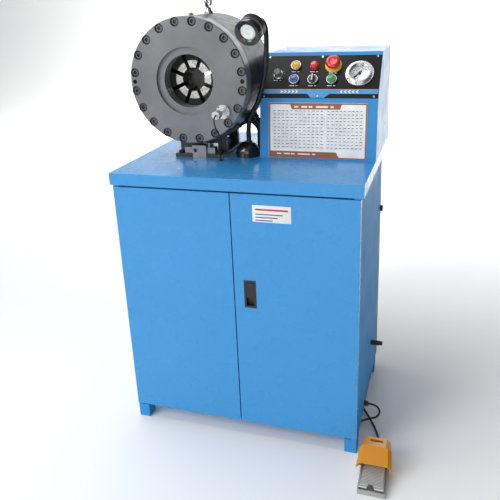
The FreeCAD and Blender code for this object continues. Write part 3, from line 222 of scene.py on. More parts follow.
soft_light("key_light", (-2.4, -3.0, 2.6), (0, 0, 0.7), 2.2, 88)
soft_light("front_fill", (0.2, -3.6, 1.2), (0, 0, 0.6), 2.0, 24)
soft_light("top_light", (-0.9, 0.1, 3.2), (0, 0, 0.8), 1.8, 34)
soft_light("backdrop_light", (0, 3.6, 4.0), (0, 7.5, 0.8), 2.6, 520)
world = bpy.data.worlds.new("studio")
world.use_nodes = True
world.node_tree.nodes["Background"].inputs["Color"].default_value = (0.96, 0.98, 1.0, 1)
room = world.node_tree.nodes.new("ShaderNodeSeparateXYZ")
room_place = world.node_tree.nodes.new("ShaderNodeTexCoord").outputs["Generated"]
world.node_tree.links.new(room_place, room.inputs["Vector"])
room_light = spread(world.node_tree, room.outputs["X"], 0.62, 0.06, -0.6, 0.8)
world.node_tree.links.new(room_light, world.node_tree.nodes["Background"].inputs["Strength"])
bpy.context.scene.world = world
bpy.context.scene.view_settings.view_transform = "Standard"


# ---------------------------------------------------------------- tabletop
# A tray of folded steel sheet, its rim turned down all round, in glossy baked blue enamel. Its folds
# are slightly round, and it has holes for the hoses, the sensor lead and the cradle's bolts.
def enamel(name, colour, roughness=0.28, gloss=0.35):
    """Baked enamel on sheet steel: faint orange peel, slow changes of tone, dust that dulls it."""
    material, tree, shader, place = material_for(name, colour, roughness)
    tone = spread(tree, grain(tree, place, 3.5, 5), 0, 1)
    tint(tree, shader, tone, darker(colour, 0.975), darker(colour, 1.02))
    tree.links.new(spread(tree, grain(tree, place, 14, 6), roughness - 0.06, roughness + 0.10),
                   shader.inputs["Roughness"])
    relief(tree, shader, grain(tree, place, 420, 2), 0.00002, 0.25)
    shader.inputs["Specular IOR Level"].default_value = gloss
    shader.inputs["Coat Weight"].default_value = gloss / 3
    shader.inputs["Coat Roughness"].default_value = 0.12
    return material


def body_of(node):
    """The name of the body that a node belongs to."""
    for body, members in frame["record"]["behaviour"]["bodies"].items():
        if node in members:
            return body


def worked_copy(node, name, edge, material, steps=2, sharp=32):
    """A merged copy of a CAD node with rounded edges, which stands for the node."""
    data = frame["nodes"][node].data.copy()
    data.materials.clear()
    data.materials.append(material)
    piece = bpy.data.objects.new(name, data)
    bpy.context.scene.collection.objects.link(piece)
    only(piece)
    bpy.ops.object.mode_set(mode="EDIT")
    bpy.ops.mesh.select_all(action="SELECT")
    bpy.ops.mesh.remove_doubles(threshold=0.000002)
    bpy.ops.mesh.dissolve_limited(angle_limit=math.radians(0.6))
    bpy.ops.object.mode_set(mode="OBJECT")
    if edge > 0:
        rounding = piece.modifiers.new("rounding", "BEVEL")
        rounding.width = edge
        rounding.segments = steps
        rounding.limit_method = "ANGLE"
        rounding.angle_limit = math.radians(sharp)
        rounding.use_clamp_overlap = True
        bpy.ops.object.modifier_apply(modifier="rounding")
    bpy.ops.object.shade_smooth_by_angle(angle=math.radians(40))
    flatness = piece.modifiers.new("flatness", "WEIGHTED_NORMAL")
    flatness.keep_sharp = True
    flatness.weight = 100
    bpy.ops.object.modifier_apply(modifier="flatness")
    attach(piece, body_of(node))
    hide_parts(node)
    return piece


blue = (0.045, 0.285, 0.63)
top_enamel = enamel("top_enamel", blue, 0.24)
worked_copy("tabletop", "folded_tabletop", 0.0022, top_enamel, 3)

# ---------------------------------------------------------------- cabinet
# A welded box of folded steel sheet in the same blue, on four short square feet. Its back is closed
# by a panel with rows of louvres that let the motor's heat out, drawn near black as painted shade.
cabinet_enamel = enamel("cabinet_enamel", blue, 0.5, 0.06)
worked_copy("cabinet_body", "welded_cabinet", 0.0012, cabinet_enamel)
worked_copy("cabinet_feet", "square_feet", 0.0015, cabinet_enamel)
# The rear panel's near-black colour is painted shade, not the colour of its paint.
shadow_black_enamel = enamel("shadow_black_enamel", (0.02, 0.021, 0.024), 0.42)
worked_copy("rear_panel", "louvred_panel", 0.0008, shadow_black_enamel)

# ---------------------------------------------------------------- doors
# Two pressed steel doors turn on bright pins at the cabinet's corners. A black flush pull sits in
# the right one, and a plain enamelled badge is fixed above it.
door_enamel = enamel("door_enamel", blue, 0.26)
worked_copy("left_door", "pressed_left_door", 0.0018, door_enamel, 3)
worked_copy("right_door", "pressed_right_door", 0.0018, door_enamel, 3)


def moulded(name, colour, roughness=0.4, coat=0.0):
    """Injection-moulded plastic: spark-eroded grain, slight flow marks, handled patches."""
    material, tree, shader, place = material_for(name, colour, roughness)
    tone = spread(tree, grain(tree, place, 30, 4), 0, 1)
    tint(tree, shader, tone, darker(colour, 0.88), darker(colour, 1.08))
    tree.links.new(spread(tree, grain(tree, place, 90, 5), roughness - 0.07, roughness + 0.12),
                   shader.inputs["Roughness"])
    relief(tree, shader, grain(tree, place, 2600, 2), 0.00004, 0.4)
    shader.inputs["Coat Weight"].default_value = coat
    shader.inputs["Coat Roughness"].default_value = 0.08
    return material


def bright_metal(name, colour, roughness, lines=(1, 1, 1)):
    """Bare or plated metal with fine tool lines drawn along the axes where lines is small."""
    material, tree, shader, place = material_for(name, colour, roughness, 1.0)
    scratches = grain(tree, place, 900, 4, lines)
    tint(tree, shader, spread(tree, grain(tree, place, 25, 5), 0, 1), darker(colour, 0.82), colour)
    tree.links.new(spread(tree, scratches, max(roughness - 0.08, 0.03), roughness + 0.14),
                   shader.inputs["Roughness"])
    relief(tree, shader, scratches, 0.00003, 0.35)
    return material


pull_black = moulded("pull_black", (0.012, 0.012, 0.013), 0.38)
plated_steel = bright_metal("plated_steel", (0.72, 0.72, 0.74), 0.16)
worked_copy("door_pull_cup", "pull_cup", 0.0008, pull_black)
worked_copy("door_pull", "flush_pull", 0.0006, pull_black)
worked_copy("hinge_pins", "bright_hinge_pins", 0.0006, plated_steel)


def block(name, low, high, edge, material, steps=2):
    """A rectangular piece between two corners, its edges rounded."""
    low, high = Vector(low), Vector(high)
    bpy.ops.object.select_all(action="DESELECT")
    bpy.ops.mesh.primitive_cube_add(size=1, location=(low + high) / 2)
    piece = bpy.context.object
    piece.name = name
    piece.scale = high - low
    bpy.ops.object.transform_apply(location=True, rotation=True, scale=True)
    rounding = piece.modifiers.new("rounding", "BEVEL")
    rounding.width = edge
    rounding.segments = steps
    bpy.ops.object.modifier_apply(modifier="rounding")
    bpy.ops.object.shade_smooth_by_angle(angle=math.radians(40))
    piece.data.materials.append(material)
    return piece


def joined(name, pieces):
    """Several meshes made one piece."""
    bpy.ops.object.select_all(action="DESELECT")
    for piece in pieces:
        piece.select_set(True)
    bpy.context.view_layer.objects.active = pieces[0]
    bpy.ops.object.join()
    pieces[0].name = name
    return pieces[0]


door_face = front_edge.y + 0.0015
badge_low = Vector((front_edge.x + 0.062, door_face - 0.0008, 0.684))
badge_size = Vector((0.104, 0.0008, 0.046))
badge_white = enamel("badge_white", (0.74, 0.75, 0.76), 0.3)
badge_red = enamel("badge_red", (0.55, 0.02, 0.025), 0.3)
badge_blue = enamel("badge_blue", (0.02, 0.05, 0.22), 0.3)
badge_pieces = [block("badge_plate", badge_low, badge_low + badge_size, 0.0003, badge_white)]
badge_rows = ((0.16, badge_red), (0.42, badge_blue), (0.60, badge_blue), (0.78, badge_blue))
for k, (share, mark) in enumerate(badge_rows):
    mark_low = badge_low + Vector((0.008, -0.0002, badge_size.z * (0.92 - share) - 0.003))
    mark_size = Vector((badge_size.x - 0.016 - 0.014 * k, 0.0004, 0.0048 if k == 0 else 0.0028))
    badge_pieces.append(block(f"badge_mark_{k}", mark_low, mark_low + mark_size, 0.0001, mark))
badge = joined("door_badge", badge_pieces)
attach(badge, "right_door")

# ---------------------------------------------------------------- power pack
# Inside the cabinet: a welded oil tank with its sight glass, a finned motor that drives a pump, a
# valve block with two coils, an electrical box, and two rubber hoses up to the head.
def cast_paint(name, colour, roughness=0.5):
    """Brushed-on machine paint over cast metal: pebbled and uneven in tone."""
    material, tree, shader, place = material_for(name, colour, roughness)
    tone = spread(tree, grain(tree, place, 22, 6), 0, 1)
    tint(tree, shader, tone, darker(colour, 0.75), darker(colour, 1.1))
    tree.links.new(spread(tree, grain(tree, place, 60, 5), roughness - 0.1, roughness + 0.2),
                   shader.inputs["Roughness"])
    relief(tree, shader, grain(tree, place, 500, 5), 0.0003, 0.5)
    return material


tank_paint = cast_paint("tank_paint", (0.13, 0.15, 0.17), 0.42)
motor_paint = cast_paint("motor_paint", (0.05, 0.13, 0.20), 0.42)
pump_paint = cast_paint("pump_paint", (0.05, 0.05, 0.055), 0.5)
worked_copy("oil_tank", "welded_oil_tank", 0.002, tank_paint)
worked_copy("electric_motor", "finned_motor", 0.0008, motor_paint)
worked_copy("hydraulic_pump", "gear_pump", 0.002, pump_paint)
valve_metal = bright_metal("valve_metal", (0.62, 0.63, 0.65), 0.36, (1, 1, 0.1))
worked_copy("valve_block", "drilled_valve_block", 0.0015, valve_metal)
box_enamel = enamel("box_enamel", (0.50, 0.50, 0.47), 0.4)
worked_copy("electrical_box", "switchgear_box", 0.001, box_enamel)
hose_cover = rubber("hose_cover", (0.018, 0.018, 0.018))
worked_copy("hydraulic_hoses", "crimped_hoses", 0.0006, hose_cover)
gland_nylon = moulded("gland_nylon", (0.016, 0.016, 0.017), 0.45)
worked_copy("glands_and_grommets", "nylon_glands", 0.0006, gland_nylon)

# ---------------------------------------------------------------- crimping head
# A thick turned steel barrel with a bolted front cover in mid grey, both softly glossy; the barrel is drawn near
# black, which is painted shade of its unlit side.
# Dark socket screws sit in counterbores, ringed by thin black tori that are painted shadow in the gaps round them.
# The rear flange and the ram are oiled black.
head_low, head_high = (Vector(corner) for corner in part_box("front_cover"))
head_axis = Vector(((head_low.x + head_high.x) / 2, head_low.y, (head_low.z + head_high.z) / 2))


def turned_finish(name, colour, roughness, metallic, ring_depth=0.00004, coat=0.0):
    """A face turned in a lathe: fine rings round the head's axis under the enamel or oil."""
    material, tree, shader, place = material_for(name, colour, roughness, metallic)
    centred = tree.nodes.new("ShaderNodeMapping")
    centred.inputs["Location"].default_value = -head_axis
    tree.links.new(place, centred.inputs["Vector"])
    rings = tree.nodes.new("ShaderNodeTexWave")
    rings.wave_type = "RINGS"
    rings.rings_direction = "Y"
    rings.inputs["Scale"].default_value = 260
    rings.inputs["Distortion"].default_value = 1.2
    rings.inputs["Detail"].default_value = 2
    tree.links.new(centred.outputs["Vector"], rings.inputs["Vector"])
    tone = spread(tree, grain(tree, place, 9, 6), 0, 1)
    tint(tree, shader, tone, darker(colour, 0.8), darker(colour, 1.15))
    tree.links.new(spread(tree, grain(tree, place, 45, 5), roughness - 0.06, roughness + 0.12),
                   shader.inputs["Roughness"])
    relief(tree, shader, rings.outputs["Fac"], ring_depth, 0.3)
    shader.inputs["Coat Weight"].default_value = coat
    shader.inputs["Coat Roughness"].default_value = 0.18
    return material


cover_grey = turned_finish("cover_grey", (0.178, 0.182, 0.192), 0.38, 0.2, coat=0.3)
# The barrel and the cradle take the cover's grey turned near black: painted shade of their unlit sides.
shade_darkened_grey = turned_finish("shade_darkened_grey", (0.036, 0.037, 0.040), 0.42, 0.2, coat=0.12)
worked_copy("head_body", "head_barrel", 0.0016, shade_darkened_grey, 3)
worked_copy("front_cover", "bolted_front_cover", 0.0011, cover_grey, 3)
black_oxide = (0.010, 0.010, 0.011)
oil_black = turned_finish("oil_black", black_oxide, 0.7, 0.0)
screw_steel = turned_finish("screw_steel", (0.13, 0.13, 0.136), 0.34, 0.6)
worked_copy("cover_screws", "socket_screws", 0.0007, screw_steel)
screw_count = 20
screw_inset = 0.013
screw_circle = head_high.x - head_axis.x - screw_inset
# Thin black rings at each counterbore's edge: painted shadow in the gap round the screw head.
shadow_rings = []
for k in range(screw_count):
    turn = math.radians(360 / screw_count * (k + 0.5))
    bpy.ops.object.select_all(action="DESELECT")
    seat = head_axis + screw_circle * Vector((math.cos(turn), 0, math.sin(turn)))
    bpy.ops.mesh.primitive_torus_add(major_segments=48, minor_segments=8, major_radius=0.0119,
                                     minor_radius=0.0007, location=seat, rotation=(math.pi / 2, 0, 0))
    shadow_rings.append(bpy.context.object)
    bpy.ops.object.transform_apply(location=True, rotation=True, scale=True)
    bpy.ops.object.shade_smooth()
    bpy.context.object.data.materials.append(oil_black)
rim_shadow = joined("painted_shadow_rims", shadow_rings)
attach(rim_shadow, "machine")
worked_copy("rear_cover", "guide_and_flange", 0.001, oil_black)
worked_copy("ram", "cone_ram", 0.001, oil_black)

# ---------------------------------------------------------------- dies
# Eight blackened steel wedges round the bore, with two oil grooves in each hollow nose. Only the front
# faces of the noses are ground bright.
def vector_step(tree, operation, vector, other=(0, 0, 0)):
    """The result of one vector operation on a socket and a fixed vector."""
    step = tree.nodes.new("ShaderNodeVectorMath")
    step.operation = operation
    step.inputs[1].default_value = other
    tree.links.new(vector, step.inputs[0])
    return step.outputs["Value" if operation == "LENGTH" else "Vector"]


def larger(tree, first, second):
    """The larger of two values."""
    choice = tree.nodes.new("ShaderNodeMath")
    choice.operation = "MAXIMUM"
    tree.links.new(first, choice.inputs[0])
    tree.links.new(second, choice.inputs[1])
    return choice.outputs["Value"]


die_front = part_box("crimping_die_1")[0][1]
bright_radius = (0.0530, 0.0540)
bright_depth = (0.0006, 0.0010)
ground_steel = bright_metal("ground_steel", (0.74, 0.73, 0.69), 0.26, (0.15, 1, 0.15))
steel_tree = ground_steel.node_tree
steel_shader = steel_tree.nodes["Principled BSDF"]
steel_place = steel_tree.nodes.new("ShaderNodeTexCoord").outputs["Object"]
from_face = vector_step(steel_tree, "SUBTRACT", steel_place, (head_axis.x, die_front, head_axis.z))
from_axis = vector_step(steel_tree, "LENGTH", vector_step(steel_tree, "MULTIPLY", from_face, (1, 0, 1)))
depth = steel_tree.nodes.new("ShaderNodeSeparateXYZ")
steel_tree.links.new(from_face, depth.inputs["Vector"])
black_share = larger(steel_tree, spread(steel_tree, from_axis, 0, 1, *bright_radius),
                     spread(steel_tree, depth.outputs["Y"], 0, 1, *bright_depth))
blackened = steel_tree.nodes.new("ShaderNodeMix")
blackened.data_type = "RGBA"
blackened.inputs["B"].default_value = (*black_oxide, 1)
steel_tree.links.new(black_share, blackened.inputs["Factor"])
steel_tree.links.new(steel_shader.inputs["Base Color"].links[0].from_socket, blackened.inputs["A"])
steel_tree.links.new(blackened.outputs["Result"], steel_shader.inputs["Base Color"])
steel_tree.links.new(spread(steel_tree, black_share, 1, 0, 0, 1), steel_shader.inputs["Metallic"])
polish = steel_shader.inputs["Roughness"].links[0].from_socket
dulled = larger(steel_tree, polish, spread(steel_tree, black_share, 0, 0.8, 0, 1))
steel_tree.links.new(dulled, steel_shader.inputs["Roughness"])
for k in range(8):
    worked_copy(f"crimping_die_{k + 1}", f"ground_die_{k + 1}", 0.0008, ground_steel)

# ---------------------------------------------------------------- fittings on the head
# A brass bleed plug and a plated lifting eye on top; underneath, a welded cradle drawn in the barrel's near-black
# painted shade, its four bolts, and a small aluminium manifold with a drilled port.
yellow_brass = bright_metal("yellow_brass", (0.80, 0.56, 0.22), 0.22)
worked_copy("bleed_plug", "brass_bleed_plug", 0.0006, yellow_brass)
worked_copy("lifting_eye", "forged_lifting_eye", 0.0008, plated_steel)
worked_copy("head_cradle", "welded_cradle", 0.0015, shade_darkened_grey, 3)
worked_copy("cradle_bolts", "hexagon_bolts", 0.0007, oil_black)
milled_aluminium = bright_metal("milled_aluminium", (0.70, 0.71, 0.72), 0.3, (1, 0.12, 1))
# The manifold's aluminium is rougher than the milled one and drawn darker: the darker colour is painted shade
# under the head.
dull_aluminium_painted_shade = bright_metal("dull_aluminium_painted_shade", (0.34, 0.34, 0.35), 0.42, (1, 0.12, 1))
worked_copy("manifold_block", "drilled_manifold", 0.0009, dull_aluminium_painted_shade)

# ---------------------------------------------------------------- position sensor
# A machined sensor screwed to the cover by two small screws, with a knurled plug on its cable.
worked_copy("position_sensor", "machined_sensor", 0.0006, milled_aluminium)

# ---------------------------------------------------------------- console
# A folded steel box with a sloping control face. Its face plate is black laminate, engraved white,
# with a blue band and white arrows along the bottom, held by six small screws.
console_enamel = enamel("console_enamel", darker(blue, 0.95), 0.32, 0.15)
worked_copy("console_box", "folded_console", 0.0018, console_enamel, 3)
laminate = moulded("laminate", (0.006, 0.0057, 0.0052), 0.42, 0.1)
laminate.node_tree.nodes["Principled BSDF"].inputs["Specular IOR Level"].default_value = 0.2
worked_copy("console_face_plate", "laminate_face", 0.0004, laminate)
worked_copy("face_plate_screws", "small_screws", 0.0002, plated_steel)

joints = {joint["name"]: joint for joint in frame["joints"]}
outwards = -Vector(joints["yellow_button_press"]["axis"])
upwards = Vector((0, outwards.z, -outwards.y))
across = Vector((1, 0, 0))
gauge_centre = Vector(joints["gauge_needle_turn"]["pos_m"])
gauge_x, gauge_up, gauge_out = 0.293, 0.077, 0.006


def on_slope(x, up, out):
    """A point on the sloping face: x from the tabletop's middle, height up the slope, and distance out."""
    return gauge_centre + across * (x - gauge_x) + upwards * (up - gauge_up) + outwards * (out - gauge_out)


def printed(name, outline, material, thick=0.0002):
    """A flat printed mark with that outline, just proud of the face it is on."""
    away = (outline[1] - outline[0]).cross(outline[-1] - outline[0]).normalized()
    mesh = bpy.data.meshes.new(name)
    mesh.from_pydata([tuple(corner) for corner in outline], [], [list(range(len(outline)))])
    piece = bpy.data.objects.new(name, mesh)
    bpy.context.scene.collection.objects.link(piece)
    only(piece)
    bpy.ops.object.mode_set(mode="EDIT")
    bpy.ops.mesh.select_all(action="SELECT")
    bpy.ops.mesh.extrude_region_move(TRANSFORM_OT_translate={"value": away * thick})
    bpy.ops.mesh.select_all(action="SELECT")
    bpy.ops.mesh.normals_make_consistent(inside=False)
    bpy.ops.object.mode_set(mode="OBJECT")
    mesh.materials.append(material)
    return piece


def slope_mark(name, corners, material, out=0.002):
    """A printed mark on the sloping face from (x, up) corners."""
    return printed(name, [on_slope(x, up, out) for x, up in corners], material)


def rectangle(x0, x1, low, high):
    return [(x0, low), (x1, low), (x1, high), (x0, high)]


print_white = moulded("print_white", (0.80, 0.80, 0.78), 0.4)
print_orange = moulded("print_orange", (0.72, 0.36, 0.18), 0.4)
band_blue = moulded("band_blue", (0.05, 0.29, 0.62), 0.35)
band_low, band_high = 0.0135, 0.0265
band_left, band_right = 0.0195, 0.3485
band_tab = [(0.1646, 0.0012), (0.202, 0.0012), (0.216, band_low), (0.154, band_low)]
band_pieces = [slope_mark("band", rectangle(band_left, band_right, band_low, band_high), band_blue),
               slope_mark("tab", band_tab, band_blue)]
blue_band = joined("blue_band", band_pieces)
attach(blue_band, "machine")

thin_line = rectangle(band_left, band_right, band_high + 0.0003, band_high + 0.0014)
mark_pieces = [slope_mark("thin_line", thin_line, print_orange)]
dash_tall = 0.0022
for k in range(5):
    for start, point in ((0.075 + 0.0108 * k, 1), (0.249 + 0.0108 * k, -1)):
        middle = (band_low + band_high) / 2
        half, wide, lean = 0.0045, 0.0042, 0.0045 * point
        arrow = [(start, middle - half), (start + wide, middle - half), (start + wide + lean, middle),
                 (start + wide, middle + half), (start, middle + half), (start + lean, middle)]
        mark_pieces.append(slope_mark(f"arrow_{k}_{point}", arrow, print_white, 0.0022))
for node in ("push_button_yellow", "indicator_lamp", "push_button_blue", "selector_switch",
             "push_button_green", "emergency_stop", "speed_knob"):
    low, high = (Vector(corner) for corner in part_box(node))
    x = (low.x + high.x) / 2 - front_edge.x
    up = gauge_up + ((low + high) / 2 - gauge_centre).dot(upwards)
    drop = 0.0255 if node == "emergency_stop" else 0.0195
    for k, wide in enumerate((0.0075, 0.0045, 0.006)):
        left = x - 0.011 + 0.0082 * k
        dash = rectangle(left, left + wide, up - drop, up - drop + dash_tall)
        mark_pieces.append(slope_mark(f"{node}_mark_{k}", dash, print_white))
face_marks = joined("engraved_marks", mark_pieces)
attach(face_marks, "machine")

# ---------------------------------------------------------------- chart
# A printed card under clear film on the console's lower face: a copper border with a title tab and a
# foot banner, and twelve rows of plain dashes in a ruled grid, in two blocks.
chart_low, chart_high = (Vector(corner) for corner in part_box("chart_plate"))
chart_up = Vector((0, 0.018, 0.169)).normalized()
chart_out = Vector((0, -chart_up.z, chart_up.y))
chart_foot = chart_low + chart_out * 0.00001
card_film = moulded("card_film", (0.86, 0.87, 0.86), 0.4, 0.2)
worked_copy("chart_plate", "printed_card", 0.0003, card_film)
chart_wide = chart_high.x - chart_low.x
chart_tall = 0.155
copper_ink = moulded("copper_ink", (0.30, 0.10, 0.035), 0.4)
grey_ink = moulded("grey_ink", (0.08, 0.08, 0.085), 0.45)
line_ink = moulded("line_ink", (0.30, 0.28, 0.26), 0.45)


def chart_mark(name, corners, material, out=0.0):
    """A printed mark on the chart from (across, up) corners, from its lower left."""
    return printed(name, [chart_foot + across * x + chart_up * up + chart_out * out for x, up in corners],
                   material, 0.00015)


border = 0.0045
trim = 0.0005
right, top = chart_wide - border, chart_tall - border
title_tab = [(0.067, chart_tall - 0.018), (0.203, chart_tall - 0.018), (0.208, top), (0.062, top)]
foot_banner = [(border, border), (0.202, border), (0.194, 0.019), (border, 0.019)]
chart_pieces = [
    chart_mark("left_border", rectangle(trim, border, trim, chart_tall - trim), copper_ink),
    chart_mark("right_border", rectangle(right, chart_wide - trim, trim, chart_tall - trim), copper_ink),
    chart_mark("top_border", rectangle(border, right, top, chart_tall - trim), copper_ink),
    chart_mark("foot_border", rectangle(border, right, trim, border), copper_ink),
    chart_mark("title_tab", title_tab, copper_ink),
    chart_mark("foot_banner", foot_banner, copper_ink)]
row_count = 12
row_pitch = 0.00925
rows_top = chart_tall - 0.0235
rule_foot, rule_top = -0.0032, -0.0028
blocks = ((0.012, 0.160, 12), (0.166, 0.268, 9))
for row in range(row_count):
    up = rows_top - row_pitch * row
    for first, last, columns in blocks:
        pitch = (last - first) / columns
        rule = rectangle(first, last, up + rule_foot, up + rule_top)
        chart_pieces.append(chart_mark(f"rule_{row}_{columns}", rule, line_ink))
        for column in range(columns):
            left = first + pitch * column + 0.002
            wide = pitch * (0.45 + 0.2 * ((row * 7 + column * 3) % 4) / 3)
            dash = rectangle(left, left + wide, up, up + dash_tall)
            chart_pieces.append(chart_mark(f"dash_{row}_{columns}_{column}", dash, grey_ink))
grid_foot = rows_top - row_pitch * (row_count - 1) + rule_foot
for first, last, columns in blocks:
    for column in range(columns + 1):
        x = first + (last - first) * column / columns
        line = rectangle(x - 0.0002, x + 0.0002, grid_foot, rows_top + 0.0045)
        chart_pieces.append(chart_mark(f"grid_{columns}_{column}", line, line_ink))
for k, wide in enumerate((0.016, 0.022, 0.014, 0.026, 0.018, 0.012)):
    left = 0.074 + 0.0205 * k
    title_dash = rectangle(left, left + wide * 0.75, chart_tall - 0.0135, chart_tall - 0.0085)
    banner_dash = rectangle(left - 0.05, left - 0.05 + wide * 0.8, 0.0095, 0.0135)
    chart_pieces.append(chart_mark(f"title_dash_{k}", title_dash, print_white, 0.00016))
    chart_pieces.append(chart_mark(f"banner_dash_{k}", banner_dash, print_white, 0.00016))
chart_print = joined("chart_print", chart_pieces)
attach(chart_print, "machine")

# ---------------------------------------------------------------- panel controls
# Satin metal bezels hold glossy moulded buttons with domed tops. The stop button is a red mushroom
# over a yellow ring, the selector has a white pointer, and the speed knob a fluted grip and a dial.
def turned(name, outline, at, way, material, sides=48, edge=0.0):
    """A lathe-turned piece: a disc carried along its axis and opened or closed at each step."""
    bpy.ops.object.select_all(action="DESELECT")
    (radius, height), *steps = outline
    bpy.ops.mesh.primitive_circle_add(vertices=sides, radius=radius, fill_type="NGON", location=(0, 0, 0))
    piece = bpy.context.object
    piece.name = name
    bpy.ops.object.mode_set(mode="EDIT")
    bpy.ops.transform.translate(value=(0, 0, height))
    for next_radius, next_height in steps:
        bpy.ops.mesh.extrude_region_move(TRANSFORM_OT_translate={"value": (0, 0, next_height - height)})
        share = next_radius / radius
        bpy.ops.transform.resize(value=(share, share, 1))
        radius, height = next_radius, next_height
    bpy.ops.mesh.select_all(action="SELECT")
    bpy.ops.mesh.normals_make_consistent(inside=False)
    bpy.ops.object.mode_set(mode="OBJECT")
    piece.rotation_mode = "QUATERNION"
    piece.rotation_quaternion = Vector(way).to_track_quat("Z", "Y")
    piece.location = at
    bpy.ops.object.transform_apply(location=True, rotation=True, scale=True)
    if edge > 0:
        rounding = piece.modifiers.new("rounding", "BEVEL")
        rounding.width = edge
        rounding.segments = 3
        rounding.limit_method = "ANGLE"
        rounding.angle_limit = math.radians(30)
        bpy.ops.object.modifier_apply(modifier="rounding")
    bpy.ops.object.shade_smooth_by_angle(angle=math.radians(40))
    piece.data.materials.append(material)
    return piece


def control_mark(name, centre, corners, out):
    """A white printed mark on a control from (across, up) corners, from its axis."""
    return printed(name, [centre + across * x + upwards * up + outwards * out for x, up in corners],
                   print_white)


def radial_mark(name, centre, turn, reach, half_width, out, material, thick):
    """A printed stroke that points away from a centre on the sloping face."""
    way = across * math.cos(turn) + upwards * math.sin(turn)
    side = outwards.cross(way) * half_width
    inner = centre + way * reach[0] + outwards * out
    outer = centre + way * reach[1] + outwards * out
    return printed(name, [inner - side, outer - side, outer + side, inner + side], material, thick)


def face_place(node):
    """The point of the plate's surface under a control."""
    low, high = (Vector(corner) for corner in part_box(node))
    middle = (low + high) / 2
    plate = gauge_centre - outwards * 0.004
    return middle - outwards * (middle - plate).dot(outwards)


satin_metal = bright_metal("satin_metal", (0.66, 0.66, 0.67), 0.24)
worked_copy("control_bezels", "satin_bezels", 0.0005, satin_metal)
button_colours = {"yellow": (0.80, 0.42, 0.012), "blue": (0.012, 0.07, 0.30), "green": (0.008, 0.24, 0.07)}
for colour, value in button_colours.items():
    gloss = moulded(f"{colour}_gloss", value, 0.22, 0.6)
    cap = turned(f"{colour}_cap", [(0.0086, 0.0), (0.012, 0.0056), (0.012, 0.0092), (0.0112, 0.0100),
                                   (0.0102, 0.0100), (0.0098, 0.0096), (0.0086, 0.0096), (0.0055, 0.0103),
                                   (0.002, 0.0105)],
                 face_place(f"push_button_{colour}"), outwards, gloss, edge=0.0003)
    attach(cap, f"{colour}_button")
    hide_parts(f"push_button_{colour}")

signal_red = moulded("signal_red", (0.62, 0.012, 0.010), 0.2, 0.6)
stop_place = face_place("emergency_stop")
mushroom = turned("stop_mushroom", [(0.0085, 0.0), (0.0085, 0.012), (0.017, 0.0135), (0.0195, 0.0145),
                                    (0.020, 0.016), (0.020, 0.019), (0.0190, 0.0222), (0.0165, 0.0245),
                                    (0.0125, 0.0256), (0.011, 0.0251), (0.006, 0.0249), (0.002, 0.0249)],
                  stop_place, outwards, signal_red)
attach(mushroom, "emergency_stop")
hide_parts("emergency_stop")
stop_yellow = moulded("stop_yellow", (0.82, 0.56, 0.015), 0.35)
yellow_ring = turned("stop_ring", [(0.0152, 0.0004), (0.0236, 0.0004), (0.0236, 0.0018), (0.0228, 0.0035),
                                   (0.0205, 0.0042), (0.0155, 0.0042), (0.0152, 0.0035)],
                     stop_place, outwards, stop_yellow, 64)
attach(yellow_ring, "machine")

lamp_place = face_place("indicator_lamp")
lens_red = moulded("lens_red", (0.62, 0.016, 0.008), 0.14, 0.8)
signal_lens = turned("signal_lens", [(0.0130, 0.0), (0.0130, 0.0020), (0.0122, 0.0026), (0.0114, 0.0026),
                                     (0.0114, 0.0084), (0.0104, 0.0100), (0.0085, 0.0108), (0.0045, 0.0112),
                                     (0.0015, 0.0113)], lamp_place, outwards, lens_red, edge=0.0002)
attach(signal_lens, "machine")
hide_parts("indicator_lamp")

selector_gloss = moulded("selector_gloss", (0.012, 0.012, 0.013), 0.25, 0.5)
worked_copy("selector_switch", "selector_grip", 0.0012, selector_gloss, 3)
selector_place = face_place("selector_switch")
pointer_outline = rectangle(-0.0013, 0.0013, -0.0095, 0.0105)
pointer = control_mark("selector_pointer", selector_place, pointer_outline, 0.0171)
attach(pointer, "selector_switch")

knob_place = face_place("speed_knob")
knob_grey = moulded("knob_grey", (0.11, 0.11, 0.115), 0.36, 0.2)
dial_silver = bright_metal("dial_silver", (0.55, 0.55, 0.56), 0.3)
skirt = turned("knob_skirt", [(0.0148, 0.0006), (0.0155, 0.0010), (0.0155, 0.0022), (0.0128, 0.0046),
                              (0.0118, 0.0046)], knob_place, outwards, dial_silver, 64)
flutes = 18
grip = turned("knob_grip", [(0.0112, 0.0044), (0.0112, 0.0052), (0.0106, 0.0160), (0.0100, 0.0168),
                            (0.0078, 0.0170), (0.0074, 0.0166), (0.002, 0.0166)],
              knob_place, outwards, knob_grey, flutes * 4)
flute_depth = 0.0007
fluted_beyond = 0.0095
for vertex in grip.data.vertices:
    from_middle = vertex.co - knob_place
    from_middle -= outwards * from_middle.dot(outwards)
    if from_middle.length > fluted_beyond:
        turn = math.atan2(from_middle.dot(upwards), from_middle.dot(across))
        vertex.co -= from_middle.normalized() * flute_depth * (0.5 - 0.5 * math.cos(flutes * turn))
dial_marks = []
for k in range(11):
    turn = math.radians(-45 + 27 * k)
    reach = (0.0168, 0.0196 if k % 5 == 0 else 0.0184)
    dial_marks.append(radial_mark(f"dial_mark_{k}", knob_place, turn, reach, 0.0004, 0.0001, print_white,
                                  0.0002))
knob_dial = joined("knob_dial", dial_marks)
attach(knob_dial, "machine")
knob = joined("fluted_knob", [skirt, grip])
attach(knob, "speed_knob")
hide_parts("speed_knob")
knob_line = control_mark("knob_line", knob_place, rectangle(-0.0005, 0.0005, 0.0078, 0.0098), 0.0170)
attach(knob_line, "speed_knob")

